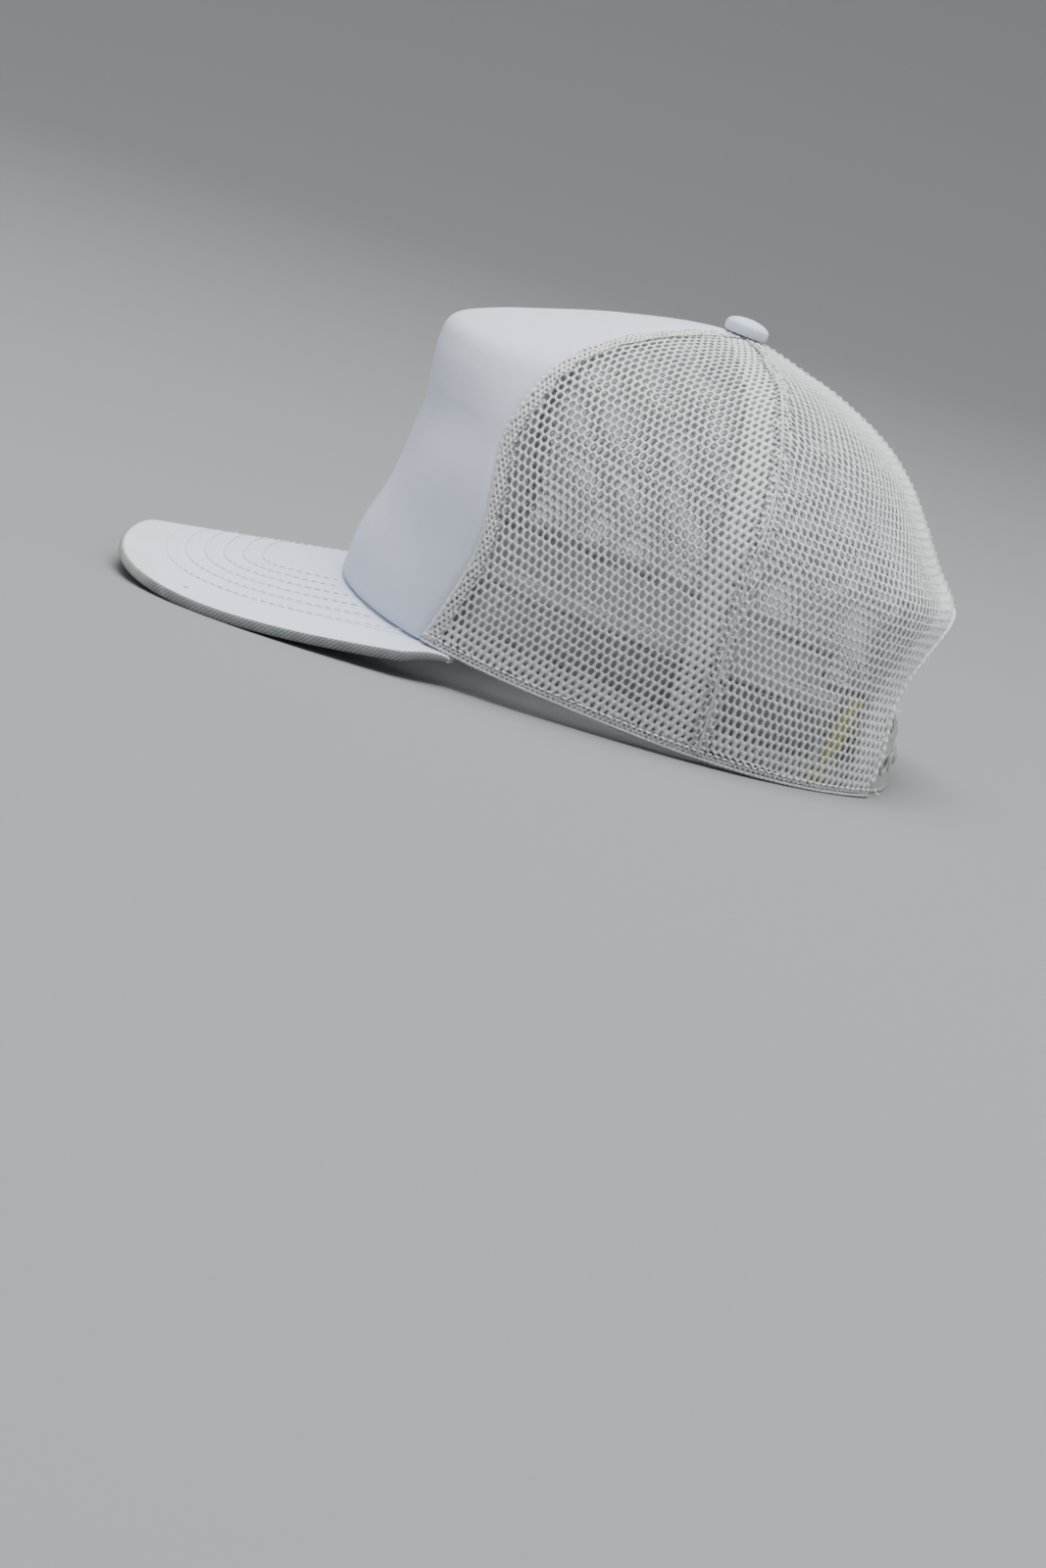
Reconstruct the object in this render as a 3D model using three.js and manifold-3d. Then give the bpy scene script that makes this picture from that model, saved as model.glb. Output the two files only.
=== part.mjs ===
import * as THREE from 'three'
import { mergeVertices } from 'three/addons/utils/BufferGeometryUtils.js'
import Module from 'manifold-3d'

// A trucker cap with a foam-backed front panel, net sides and back, a stitched visor and a snap strap.
// Millimetres, +Z up. The visor points to -Y and the wearer's left is +X. Every shape is worked out in
// the hem's own frame, whose zero height is the hem at the front, and the whole cap is then tipped on
// to the surface that it rests on.

const wasm = await Module()
wasm.setup()

// Driving dimensions

const hemSag = 6.8            // how much lower the hem hangs at the sides than at the front
const hemSagFades = 60        // height above the hem where that droop has gone
const layerGap = 0.3          // between layers of cloth that are sewn together
const seamGap = 0.4           // between two panels at their seam
const foldGap = 0.7           // between a net panel and the fold behind it, which lies on curved facets

const foamPanel = 3           // thickness of the foam-backed front panel
const netCloth = 1.2          // thickness of the net panels
const foldCloth = 1           // thickness of the net that is turned under at seams, arch and hem

// One row for each level section of the crown: its height above the hem, how far it reaches to the front,
// to the back and to each side, where along Y it is widest, how square its front and back corners are
// (2 is an ellipse), and where along Y the front seam and the side seam cross it
const sectionColumns = [
  'up', 'front', 'back', 'half', 'widest', 'frontSquare', 'backSquare', 'frontSeam', 'sideSeam'
]
const crownSections = [
  [0, 98, 97.5, 79, 0, 2.9, 2.3, -62.5, 29.5],
  [14, 98, 96, 80.5, 1, 2.85, 2.3, -58.5, 27.7],
  [30, 95.4, 92, 81.5, 2, 2.8, 2.3, -56.3, 25.3],
  [46, 94.6, 91.5, 81, 3, 2.75, 2.3, -58.8, 23.6],
  [58, 93.8, 89.8, 79.5, 3, 2.7, 2.3, -61.3, 23],
  [68, 94.8, 80.8, 76.5, 3, 2.7, 2.3, -61.3, 22.4],
  [78, 95.8, 72.5, 72, 2, 2.65, 2.25, -58.8, 21],
  [86, 94, 65.5, 67, 1, 2.6, 2.2, -55.8, 19],
  [92, 83.5, 59, 62, 0, 2.5, 2.2, -51.8, 17],
  [98, 68, 50.5, 55, -2, 2.4, 2.1, -46, 14.6],
  [103.2, 53.5, 39.5, 47, -3, 2.3, 2.1, -38, 12],
  [107.4, 39.5, 27.5, 37, -4, 2.2, 2.1, -29.5, 8.5],
  [110.7, 27, 13.5, 24, -5, 2.1, 2, -21, 4],
  [112.8, 16, 4, 11, -6, 2, 2, -13, -1.5],
  [113.5, 9, -3, 3, -6, 2, 2, -8, -4.8]
].map(row => Object.fromEntries(sectionColumns.map((name, i) => [name, row[i]])))
const topLevel = crownSections.length - 1

const arch = {
  half: 45.5,
  foot: 20,                   // height of the straight part of its sides
  footShare: 0.25,            // share of the outline that the straight part takes
  top: 57,
  square: 2.2,
  fold: 10,                   // width of the net turned under around it
  foldGap: 1.9                // its fold crosses the sharp bend of the back, so it lies deeper
}
const hemFold = 9             // height of the net that is turned under at the hem
const sideFold = [12, 2]      // width of the net folded in front of the side seam, and behind it
const backFold = 5            // width of the net folded on each side of the back seam
const frontFold = 5           // width of the net folded behind the front seam
const foldsEnd = 12           // the section where the seam folds stop, short of the button

const sweatband = { height: 27, thick: 1.4, inset: 3.7, end: THREE.MathUtils.degToRad(136) }

const visor = {
  reach: 68.7,                // from the front of the crown to the tip
  half: 82,                   // half of the greatest width
  cornersBack: 46,            // how far behind the front of the crown the corners lie
  square: 3,
  slope: Math.tan(THREE.MathUtils.degToRad(13.2)),
  bend: 0.0024,               // droop of the sides: this times x squared
  cornerLong: 14,             // length over which the outline draws in to meet the crown
  cornerIn: 6.5,              // how far it draws in
  cornerThin: 0.55,           // share of the thickness left at the corners
  joint: THREE.MathUtils.degToRad(55.5),
  topCloth: 2,
  underCloth: 0.9,
  seat: 3.2                   // how far the visor's sewn edge reaches in under the crown
}

const button = { radius: 7.2, edge: 0.8, side: 2.6, height: 5.4, shank: 2.2, rivet: 6, rivetThick: 1 }

const strap = {
  high: 19,
  thick: 1.2,
  middle: 89.3,               // where the fastened strap crosses the middle of the back
  bow: 6.5,                   // how far it lies forward of that at the sides of the arch
  bowPower: 3.4,
  lean: 3.6,                  // how far its upper edge leans forward of the lower one in the opening
  underNet: 5,              // how deep the sewn ends lie under the net's outer face
  sewnEnd: 58,                // x of the sewn ends
  pitch: 9.5,
  firstHole: -17,             // x of the outer strap's first hole
  holes: 6,
  studs: 6,
  freeStuds: 2,
  holeRadius: 2.5,
  studRadius: 2.1,
  studHigh: 2.3,
  tipBeyond: 7,               // from the last hole or stud to the strap's tip
  dips: [-42, -30]            // x between which the strap with the studs passes under the other
}

const rest = { slope: 0.0982, back: -2.5, backAt: 85 }   // the surface it rests on, seen in the hem's frame

// Number of facets across and along each cloth

const facets = {
  front: [20, 20], side: [12, 22], back: [12, 16], visor: [24, 7], sweatband: [48, 2], fold: 20, around: 28
}

// Crown

// The value of a column at level t, on a smooth curve through the sections (Catmull-Rom)
function column(name, t) {
  const level = THREE.MathUtils.clamp(t, 0, topLevel)
  const row = Math.min(Math.floor(level), topLevel - 1)
  const f = level - row
  const at = i => crownSections[i][name]
  const enter = row > 0 ? (at(row + 1) - at(row - 1)) / 2 : at(1) - at(0)
  const leave = row < topLevel - 1 ? (at(row + 2) - at(row)) / 2 : at(row + 1) - at(row)
  return (2 * f ** 3 - 3 * f ** 2 + 1) * at(row) + (f ** 3 - 2 * f ** 2 + f) * enter
    + (3 * f ** 2 - 2 * f ** 3) * at(row + 1) + (f ** 3 - f ** 2) * leave
}

const hemHeight = x => -hemSag * (x / crownSections[0].half) ** 2

// A point of the crown's outer face: angle turns from the front towards the wearer's left
function shell(angle, t) {
  const forward = Math.cos(angle)
  const sideways = Math.sin(angle)
  const widest = column('widest', t)
  const half = column('half', t)
  const reach = forward > 0 ? column('front', t) + widest : column('back', t) - widest
  const square = column(forward > 0 ? 'frontSquare' : 'backSquare', t)
  const radius = ((Math.abs(forward) / reach) ** square + (Math.abs(sideways) / half) ** square) ** (-1 / square)
  const x = radius * sideways
  const up = column('up', t)
  const fade = Math.max(0, 1 - up / hemSagFades) ** 2
  return new THREE.Vector3(x, widest - radius * forward, up + hemHeight(x) * fade)
}

// The same point, moved inwards through the cloth
function crownPoint(angle, t, inset = 0) {
  const point = shell(angle, t)
  if (inset === 0) return point
  const step = 0.01
  const across = shell(angle + step, t).sub(shell(angle - step, t))
  const upward = shell(angle, Math.min(t + step, topLevel)).sub(shell(angle, Math.max(t - step, 0)))
  return point.addScaledVector(across.cross(upward).normalize(), -inset)
}

// The angle at which the section at level t passes a place along Y, on the wearer's left
function angleAtY(y, t) {
  const widest = column('widest', t)
  const inFront = y < widest
  const reach = inFront ? column('front', t) + widest : column('back', t) - widest
  const square = column(inFront ? 'frontSquare' : 'backSquare', t)
  const share = Math.min(Math.abs(widest - y) / reach, 1)
  const x = column('half', t) * (1 - share ** square) ** (1 / square)
  return Math.atan2(x, widest - y)
}

// The angle at which the back of the section at level t passes a place along X
function angleAtX(x, t) {
  const widest = column('widest', t)
  const square = column('backSquare', t)
  const share = Math.min(Math.abs(x) / column('half', t), 1)
  const y = (column('back', t) - widest) * (1 - share ** square) ** (1 / square)
  return Math.atan2(x, -y)
}

// The level whose section lies at a height
function levelAt(up) {
  let low = 0
  let high = topLevel
  for (let i = 0; i < 30; i++) {
    const middle = (low + high) / 2
    if (column('up', middle) < up) low = middle
    else high = middle
  }
  return (low + high) / 2
}

// Closed sheets

// A sheet with two faces, each a grid of points, and a wall around its edges. The faces are functions of
// (across, along) from 0 to 1. The solid is turned so that its faces point outwards.
function sheet(outer, inner, columns, rows) {
  const positions = []
  for (const face of [outer, inner]) {
    for (let j = 0; j <= rows; j++) {
      for (let i = 0; i <= columns; i++) positions.push(...face(i / columns, j / rows).toArray())
    }
  }
  const layer = (columns + 1) * (rows + 1)
  const at = (i, j, k) => k * layer + j * (columns + 1) + i
  const index = []
  const quad = (a, b, c, d) => index.push(a, b, c, a, c, d)
  for (let j = 0; j < rows; j++) {
    for (let i = 0; i < columns; i++) {
      quad(at(i, j, 0), at(i + 1, j, 0), at(i + 1, j + 1, 0), at(i, j + 1, 0))
      quad(at(i, j, 1), at(i, j + 1, 1), at(i + 1, j + 1, 1), at(i + 1, j, 1))
    }
    quad(at(0, j, 1), at(0, j, 0), at(0, j + 1, 0), at(0, j + 1, 1))
    quad(at(columns, j, 0), at(columns, j, 1), at(columns, j + 1, 1), at(columns, j + 1, 0))
  }
  for (let i = 0; i < columns; i++) {
    quad(at(i, 0, 1), at(i + 1, 0, 1), at(i + 1, 0, 0), at(i, 0, 0))
    quad(at(i, rows, 0), at(i + 1, rows, 0), at(i + 1, rows, 1), at(i, rows, 1))
  }
  const geometry = new THREE.BufferGeometry()
  geometry.setAttribute('position', new THREE.Float32BufferAttribute(positions, 3))
  geometry.setIndex(volume(positions, index) > 0 ? index : index.toReversed())
  return geometry
}

function volume(positions, index) {
  const corner = n => new THREE.Vector3().fromArray(positions, 3 * n)
  let sum = 0
  for (let i = 0; i < index.length; i += 3) {
    sum += corner(index[i]).dot(corner(index[i + 1]).cross(corner(index[i + 2]))) / 6
  }
  return sum
}

// A sheet of the crown between two depths under its outer face. place(across, along) gives its angle and level.
function crownSheet(place, outset, inset, columns, rows) {
  const face = depth => (across, along) => crownPoint(...place(across, along), depth)
  return sheet(face(outset), face(inset), columns, rows)
}

const mix = THREE.MathUtils.lerp

function frontPanel() {
  const place = (across, along) => {
    const t = along * topLevel
    return [mix(-1, 1, across) * angleAtY(column('frontSeam', t) - seamGap / 2, t), t]
  }
  return crownSheet(place, 0, foamPanel, ...facets.front)
}

// side is 1 for the wearer's left and -1 for the right
function sideNet(side) {
  const place = (across, along) => {
    const t = along * topLevel
    const front = angleAtY(column('frontSeam', t) + seamGap / 2, t)
    const back = angleAtY(column('sideSeam', t) - seamGap / 2, t)
    return [side * mix(front, back, across), t]
  }
  return crownSheet(place, 0, netCloth, ...facets.side)
}

// Outline of the arch at the back: along runs from 0 at the hem to 1 at the top. Returns x and height.
function archEdge(along, outside = 0) {
  const half = arch.half + outside
  if (along < arch.footShare) return [half, arch.foot * along / arch.footShare]
  const turn = (along - arch.footShare) / (1 - arch.footShare) * Math.PI / 2
  const rise = arch.top + outside - arch.foot
  return [half * Math.cos(turn) ** (2 / arch.square), arch.foot + rise * Math.sin(turn) ** (2 / arch.square)]
}

function archPlace(along, outside) {
  const [x, up] = archEdge(along, outside)
  const t = levelAt(up)
  return [angleAtX(Math.max(x, seamGap / 2), t), t]
}

// The back net's lower edge follows the hem from the side seam and then the arch up to the back seam
function backNet(side) {
  const hemShare = 0.5
  const corner = archPlace(0)
  const place = (across, along) => {
    let foot = archPlace(Math.max(0, (across - hemShare) / (1 - hemShare)))
    if (across < hemShare) {
      foot = [mix(angleAtY(column('sideSeam', 0) + seamGap / 2, 0), corner[0], across / hemShare), 0]
    }
    const t = mix(foot[1], topLevel, along)
    const ends = level => [
      angleAtY(column('sideSeam', level) + seamGap / 2, level),
      angleAtX(seamGap / 2, level)
    ]
    const [sideHere, backHere] = ends(t)
    const [sideFoot, backFoot] = ends(foot[1])
    const footShare = (foot[0] - sideFoot) / (backFoot - sideFoot)
    return [side * mix(sideHere, backHere, mix(footShare, across, along)), t]
  }
  return crownSheet(place, 0, netCloth, ...facets.back)
}

// Net that is turned under at seams, arch and hem

const foldOuter = netCloth + foldGap
const foldInner = foldOuter + foldCloth

function seamFold(side, seam, before, after) {
  const start = levelAt(hemFold + layerGap)
  const place = (across, along) => {
    const t = mix(start, foldsEnd, along)
    return [side * angleAtY(column(seam, t) + mix(-before, after, across), t), t]
  }
  return crownSheet(place, foldOuter, foldInner, 2, facets.fold)
}

function backSeamFold() {
  const start = levelAt(arch.top + arch.fold + layerGap)
  const place = (across, along) => {
    const t = mix(start, foldsEnd, along)
    const x = mix(backFold, -backFold, across)
    return [Math.PI - Math.sign(x) * (Math.PI - angleAtX(Math.abs(x), t)), t]
  }
  return crownSheet(place, foldOuter, foldInner, 2, facets.fold / 2)
}

function archFold() {
  const start = arch.footShare * (hemFold + layerGap) / arch.foot
  const place = (across, along) => {
    const turn = 1 - Math.abs(2 * across - 1)
    const [x, up] = archEdge(mix(start, 1, turn), arch.fold * along)
    const t = levelAt(up)
    const angle = angleAtX(Math.max(x, 0.001), t)
    return [across < 0.5 ? angle : 2 * Math.PI - angle, t]
  }
  const depth = netCloth + arch.foldGap
  return crownSheet(place, depth, depth + foldCloth, facets.around, 2)
}

function hemFoldStrip(side) {
  const corner = archPlace(0)
  const place = (across, along) => {
    const t = along * levelAt(hemFold)
    const front = angleAtY(column('frontSeam', t) + seamGap, t)
    return [side * mix(front, corner[0], across), t]
  }
  return crownSheet(place, foldOuter, foldInner, facets.fold, 1)
}

function sweatbandStrip() {
  const top = levelAt(sweatband.height)
  const place = (across, along) => [mix(-sweatband.end, sweatband.end, across), along * top]
  return crownSheet(place, sweatband.inset, sweatband.inset + sweatband.thick, ...facets.sweatband)
}

// Visor

// A point of the visor: across from -1 to 1, out from 0 at the crown to 1 at the edge, and its depth
// under the upper face
function visorPoint(across, out, below) {
  const seat = crownPoint(across * visor.joint, 0, visor.seat)
  const turn = across * Math.PI / 2
  const front = crownSections[0].front
  const length = visor.reach + visor.cornersBack
  const radius = ((Math.cos(turn) / length) ** visor.square
    + (Math.abs(Math.sin(turn)) / visor.half) ** visor.square) ** (-1 / visor.square)
  const ahead = radius * Math.cos(turn)
  const corner = Math.max(0, 1 - ahead / visor.cornerLong) ** 1.5
  const x = radius * Math.sin(turn) - Math.sign(across) * visor.cornerIn * corner
  const y = visor.cornersBack - front - ahead
  const bent = (y + front) * visor.slope - visor.bend * x ** 2
  const edge = new THREE.Vector3(x, y, mix(bent, hemHeight(x), corner))
  const depth = layerGap + below * mix(1, visor.cornerThin, corner)
  return seat.lerp(edge, out).add(new THREE.Vector3(0, 0, -depth))
}

function visorCloth(top, thick) {
  const face = below => (across, along) => visorPoint(mix(-1, 1, across), along, below)
  return sheet(face(top), face(top + thick), ...facets.visor)
}

// Button on top: a domed cover on a shank, with a rivet plate inside the crown

function coveredButton() {
  const seat = column('up', topLevel) + layerGap
  const inside = seat - 2 * layerGap - foamPanel
  const domeFoot = seat + button.side
  const dome = button.height - button.side
  const profile = [
    [0, inside - button.rivetThick],
    [button.rivet, inside - button.rivetThick],
    [button.rivet, inside],
    [button.shank, inside],
    [button.shank, seat],
    [button.radius - button.edge, seat],
    [button.radius, seat + button.edge],
    [button.radius, domeFoot]
  ]
  const steps = 5
  for (let i = 1; i <= steps; i++) {
    const turn = i / steps * Math.PI / 2
    profile.push([button.radius * Math.cos(turn), domeFoot + dome * Math.sin(turn)])
  }
  profile[profile.length - 1][0] = 0
  const geometry = new THREE.LatheGeometry(profile.map(([r, z]) => new THREE.Vector2(r, z)), facets.around)
  geometry.rotateX(Math.PI / 2)
  geometry.translate(0, column('widest', topLevel), 0)
  return closed(geometry)
}

function closed(geometry) {
  geometry.deleteAttribute('normal')
  geometry.deleteAttribute('uv')
  return mergeVertices(geometry, 1e-4)
}

// Snap strap

function solid(geometry) {
  const merged = closed(geometry)
  return new wasm.Manifold(new wasm.Mesh({
    numProp: 3,
    vertProperties: new Float32Array(merged.attributes.position.array),
    triVerts: new Uint32Array(merged.index.array)
  }))
}

function fromSolid(body) {
  const mesh = body.getMesh()
  const geometry = new THREE.BufferGeometry()
  geometry.setAttribute('position', new THREE.Float32BufferAttribute(mesh.vertProperties, 3))
  geometry.setIndex([...mesh.triVerts])
  return geometry
}

// Where the strap's outer face runs, seen from above: a flat bow across the opening, which turns in
// under the net on each side. Returns the place along Y.
function strapLine(x) {
  const bow = strap.middle - strap.bow * Math.abs(x / arch.half) ** strap.bowPower
  const t = levelAt(strap.high / 2)
  const reach = column('back', t) - column('widest', t)
  const square = column('backSquare', t)
  const share = Math.min(Math.abs(x) / column('half', t), 1)
  const across = (1 - share ** square) ** (1 / square)
  const steep = (share / across) ** (square - 1) * reach / column('half', t)
  const under = column('widest', t) + reach * across - strap.underNet * Math.hypot(1, steep)
  const soft = 1.2
  return -soft * Math.log(Math.exp(-bow / soft) + Math.exp(-under / soft))
}

const floorUnder = y => rest.back + rest.slope * (y - rest.backAt)

// A point of the strap: x along it, height from 0 to 1, and depth inwards from the outer face
function strapPoint(x, height, depth) {
  const step = 0.05
  const along = new THREE.Vector2(2 * step, strapLine(x + step) - strapLine(x - step)).normalize()
  const y = strapLine(x) - depth * along.x
  const lean = strap.lean * Math.max(0, 1 - Math.abs(x / arch.half) ** strap.bowPower) * (0.5 - height)
  return new THREE.Vector3(x + depth * along.y, y + lean, floorUnder(y + lean) + height * strap.high)
}

// How deep each strap's outer face lies: the strap with the studs passes under the other
const outerDepth = () => 0
const underDepth = x => (strap.thick + layerGap) * THREE.MathUtils.smoothstep(x, ...strap.dips)

function strapBand(from, to, depthAt) {
  const face = inwards => (across, along) => {
    const x = mix(from, to, across)
    return strapPoint(x, along, depthAt(x) + inwards)
  }
  return solid(sheet(face(0), face(strap.thick), facets.fold, 1))
}

// A round bar square to the strap at x, from one depth to another
function strapBar(x, radius, from, to) {
  const start = strapPoint(x, 0.5, from)
  const end = strapPoint(x, 0.5, to)
  const bar = new THREE.CylinderGeometry(radius, radius, start.distanceTo(end), 10)
  bar.applyQuaternion(new THREE.Quaternion().setFromUnitVectors(
    new THREE.Vector3(0, 1, 0), end.clone().sub(start).normalize()))
  const middle = start.add(end).multiplyScalar(0.5)
  bar.translate(middle.x, middle.y, middle.z)
  return solid(bar)
}

function strapWithHoles() {
  let body = strapBand(strap.sewnEnd, strap.firstHole - strap.tipBeyond, outerDepth)
  for (let i = 0; i < strap.holes; i++) {
    body = body.subtract(strapBar(strap.firstHole + i * strap.pitch, strap.holeRadius, -1, strap.thick + 1))
  }
  return fromSolid(body)
}

// All but the free studs stand in the other strap's holes
function strapWithStuds() {
  const firstStud = strap.firstHole - strap.freeStuds * strap.pitch
  let body = strapBand(-strap.sewnEnd, firstStud + (strap.studs - 1) * strap.pitch + strap.tipBeyond, underDepth)
  for (let i = 0; i < strap.studs; i++) {
    const x = firstStud + i * strap.pitch
    const root = underDepth(x) + strap.thick / 2
    body = body.add(strapBar(x, strap.studRadius, underDepth(x) - strap.studHigh, root))
  }
  return fromSolid(body)
}

// Materials, one for each piece's own cloth or plastic

const finish = (color, roughness) => new THREE.MeshStandardMaterial({ color, roughness, metalness: 0 })
const panelCloth = finish(0xdfe2ea, 0.85)
const netYarn = finish(0xe4e4e0, 0.6)
const foldedNet = finish(0xe9e9e6, 0.65)
const bandCloth = finish(0xc9c8cf, 0.95)
const visorTopCloth = finish(0xe3e5ef, 0.85)
const visorUnderCloth = finish(0xd8dadf, 0.9)
const clearPlastic = finish(0xe2e5e0, 0.3)

// The cap

const cap = new THREE.Group()

function piece(name, geometry, material) {
  const mesh = new THREE.Mesh(geometry, material)
  mesh.name = name
  cap.add(mesh)
}

piece('front_panel', frontPanel(), panelCloth)
for (const [side, word] of [[1, 'left'], [-1, 'right']]) {
  piece(`side_net_${word}`, sideNet(side), netYarn)
  piece(`back_net_${word}`, backNet(side), netYarn)
  piece(`front_seam_fold_${word}`, seamFold(side, 'frontSeam', -seamGap, frontFold), foldedNet)
  piece(`side_seam_fold_${word}`, seamFold(side, 'sideSeam', ...sideFold), foldedNet)
  piece(`hem_fold_${word}`, hemFoldStrip(side), foldedNet)
}
piece('back_seam_fold', backSeamFold(), foldedNet)
piece('arch_fold', archFold(), foldedNet)
piece('sweatband', sweatbandStrip(), bandCloth)
piece('visor_top', visorCloth(0, visor.topCloth), visorTopCloth)
piece('visor_under', visorCloth(visor.topCloth + layerGap, visor.underCloth), visorUnderCloth)
piece('button', coveredButton(), panelCloth)
piece('strap_left', strapWithHoles(), clearPlastic)
piece('strap_right', strapWithStuds(), clearPlastic)

// The hem's frame, tipped until the visor's corners and the strap stand on the surface, and centred over
// the origin

const tip = Math.atan(rest.slope)
cap.rotation.x = -tip
cap.position.z = (rest.slope * rest.backAt - rest.back) * Math.cos(tip)
const bounds = new THREE.Box3().setFromObject(cap, true)
cap.position.y = -(bounds.min.y + bounds.max.y) / 2

export default cap
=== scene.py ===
import bpy
import numpy as np
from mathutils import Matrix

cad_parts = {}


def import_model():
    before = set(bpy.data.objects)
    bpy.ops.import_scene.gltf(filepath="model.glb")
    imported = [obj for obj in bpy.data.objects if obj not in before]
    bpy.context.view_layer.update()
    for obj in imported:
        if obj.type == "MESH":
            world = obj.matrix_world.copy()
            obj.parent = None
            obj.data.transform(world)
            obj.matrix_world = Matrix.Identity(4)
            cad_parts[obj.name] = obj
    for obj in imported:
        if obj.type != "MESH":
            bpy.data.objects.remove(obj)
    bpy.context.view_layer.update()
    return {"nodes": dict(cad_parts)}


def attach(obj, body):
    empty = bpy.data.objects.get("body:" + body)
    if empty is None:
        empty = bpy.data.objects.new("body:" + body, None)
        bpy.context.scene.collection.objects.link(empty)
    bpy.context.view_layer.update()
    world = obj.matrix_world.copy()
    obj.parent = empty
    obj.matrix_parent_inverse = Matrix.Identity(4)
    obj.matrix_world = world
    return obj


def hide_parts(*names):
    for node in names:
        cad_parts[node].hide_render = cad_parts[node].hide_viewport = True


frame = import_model()
print("frame loaded")

# The shapes are worked out in millimetres in the hem's own frame: zero height is the hem at the front,
# the visor points to -Y and the wearer's left is +X. toWorld tips them on to the floor, in metres.
stand = {"slope": 0.0982, "forward": 36.224, "lift": 10.795}


def toWorld(points):
    # turned about X by the angle whose tangent is the slope, moved, and scaled to metres
    tip = np.arctan(stand["slope"])
    x, y, z = np.moveaxis(np.asarray(points, float), -1, 0)
    turned = [x, y * np.cos(tip) + z * np.sin(tip), z * np.cos(tip) - y * np.sin(tip)]
    return (np.stack(turned, -1) + [0, stand["forward"], stand["lift"]]) / 1000


# Camera, floor and lights

view = {
    "place": (1.1330, 0.0537, 0.1821),
    "turn": (78.668, -16.042, 95.186),  # degrees about X, Y and Z
    "focal": 80.7,
    "sensor": 36,
}
camera = bpy.data.objects.new("camera", bpy.data.cameras.new("camera"))
camera.location = view["place"]
camera.rotation_euler = np.radians(view["turn"])
camera.data.lens = view["focal"]
camera.data.sensor_width = view["sensor"]
camera.data.clip_end = 50
bpy.context.scene.collection.objects.link(camera)
bpy.context.scene.camera = camera

lights = [
    # name, place, aimed at, size, watts
    ("keyLight", (0.25, 0.1, 2.0), (0, 0, 0.06), 1.3, 48),
    ("frontLight", (1.1, -1.5, 1.2), (0, 0, 0.06), 1.4, 5),
    ("backLight", (0.2, 1.3, 1.4), (0, 0.05, 0.06), 1.2, 9),
]


def addLight(name, place, aim, size, watts):
    lamp = bpy.data.lights.new(name, "AREA")
    lamp.energy = watts
    lamp.size = size
    light = bpy.data.objects.new(name, lamp)
    light.location = place
    away = np.array(place) - np.array(aim)
    turnZ = np.arctan2(away[1], away[0]) + np.pi / 2
    tilt = np.arctan2(np.hypot(away[0], away[1]), away[2])
    light.rotation_euler = (tilt, 0, turnZ)
    bpy.context.scene.collection.objects.link(light)


for row in lights:
    addLight(*row)

# an even soft light from above, which also reaches the far floor, and a faint bluish sky
studio = {"ceiling": 2.9, "ceilingSpread": np.radians(70), "sky": (0.88, 0.93, 1, 1), "skyStrength": 0.3}
ceiling = bpy.data.lights.new("ceilingLight", "SUN")
ceiling.energy = studio["ceiling"]
ceiling.angle = studio["ceilingSpread"]
ceilingLight = bpy.data.objects.new("ceilingLight", ceiling)
ceilingLight.location = (0, 0, 3)
bpy.context.scene.collection.objects.link(ceilingLight)

world = bpy.data.worlds.new("studio")
world.use_nodes = True
world.node_tree.nodes["Background"].inputs["Color"].default_value = studio["sky"]
world.node_tree.nodes["Background"].inputs["Strength"].default_value = studio["skyStrength"]
bpy.context.scene.world = world


# Meshes

def meshPiece(name, vertices, faces, material, attributes=None):
    # vertices (n, 3) in the hem's frame and faces (m, 3) or (m, 4) become one mesh object
    faces = np.asarray(faces)
    mesh = bpy.data.meshes.new(name)
    mesh.vertices.add(len(vertices))
    mesh.vertices.foreach_set("co", toWorld(vertices).ravel())
    mesh.loops.add(faces.size)
    mesh.loops.foreach_set("vertex_index", faces.ravel())
    mesh.polygons.add(len(faces))
    mesh.polygons.foreach_set("loop_start", np.arange(0, faces.size, faces.shape[1]))
    mesh.polygons.foreach_set("use_smooth", np.full(len(faces), True))
    mesh.update(calc_edges=True)
    for key, values in (attributes or {}).items():
        attribute = mesh.attributes.new(key, "FLOAT", "POINT")
        attribute.data.foreach_set("value", np.asarray(values, float).ravel())
    mesh.materials.append(material)
    made = bpy.data.objects.new(name, mesh)
    bpy.context.scene.collection.objects.link(made)
    return made


def gridFaces(rows, columns, wrapRows=False, wrapColumns=False, first=0):
    # the four-sided faces between neighbours of a grid of points, laid row after row
    i = np.arange(rows if wrapRows else rows - 1)[:, None]
    j = np.arange(columns if wrapColumns else columns - 1)[None, :]
    nextRow = (i + 1) % rows
    nextColumn = (j + 1) % columns
    quads = [i * columns + j, i * columns + nextColumn, nextRow * columns + nextColumn, nextRow * columns + j]
    return first + np.stack(np.broadcast_arrays(*quads), -1).reshape(-1, 4)


def sheetMesh(outer, inner):
    # two grids of points (rows, columns, 3), closed by a wall around their edges
    rows, columns = outer.shape[:2]
    count = rows * columns
    index = np.arange(count).reshape(rows, columns)
    rim = np.concatenate([index[0, :], index[1:, -1], index[-1, -2::-1], index[-2:0:-1, 0]])
    after = np.roll(rim, -1)
    wall = np.stack([rim, rim + count, after + count, after], -1)
    outside = gridFaces(rows, columns)
    return np.concatenate([outer.reshape(-1, 3), inner.reshape(-1, 3)]), np.concatenate(
        [outside, count + outside[:, ::-1], wall])


def tubeMesh(rings):
    # rings (rings, around, 3) joined into one tube, each end closed by a fan of thin four-sided faces
    count, around = rings.shape[:2]
    sides = gridFaces(count, around, wrapColumns=True)
    half = np.arange(around // 2 - 1)
    cap = np.stack([half, half + 1, around - 2 - half, around - 1 - half], -1)
    last = (count - 1) * around
    return rings.reshape(-1, 3), np.concatenate([sides, cap[:, ::-1], last + cap])


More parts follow.
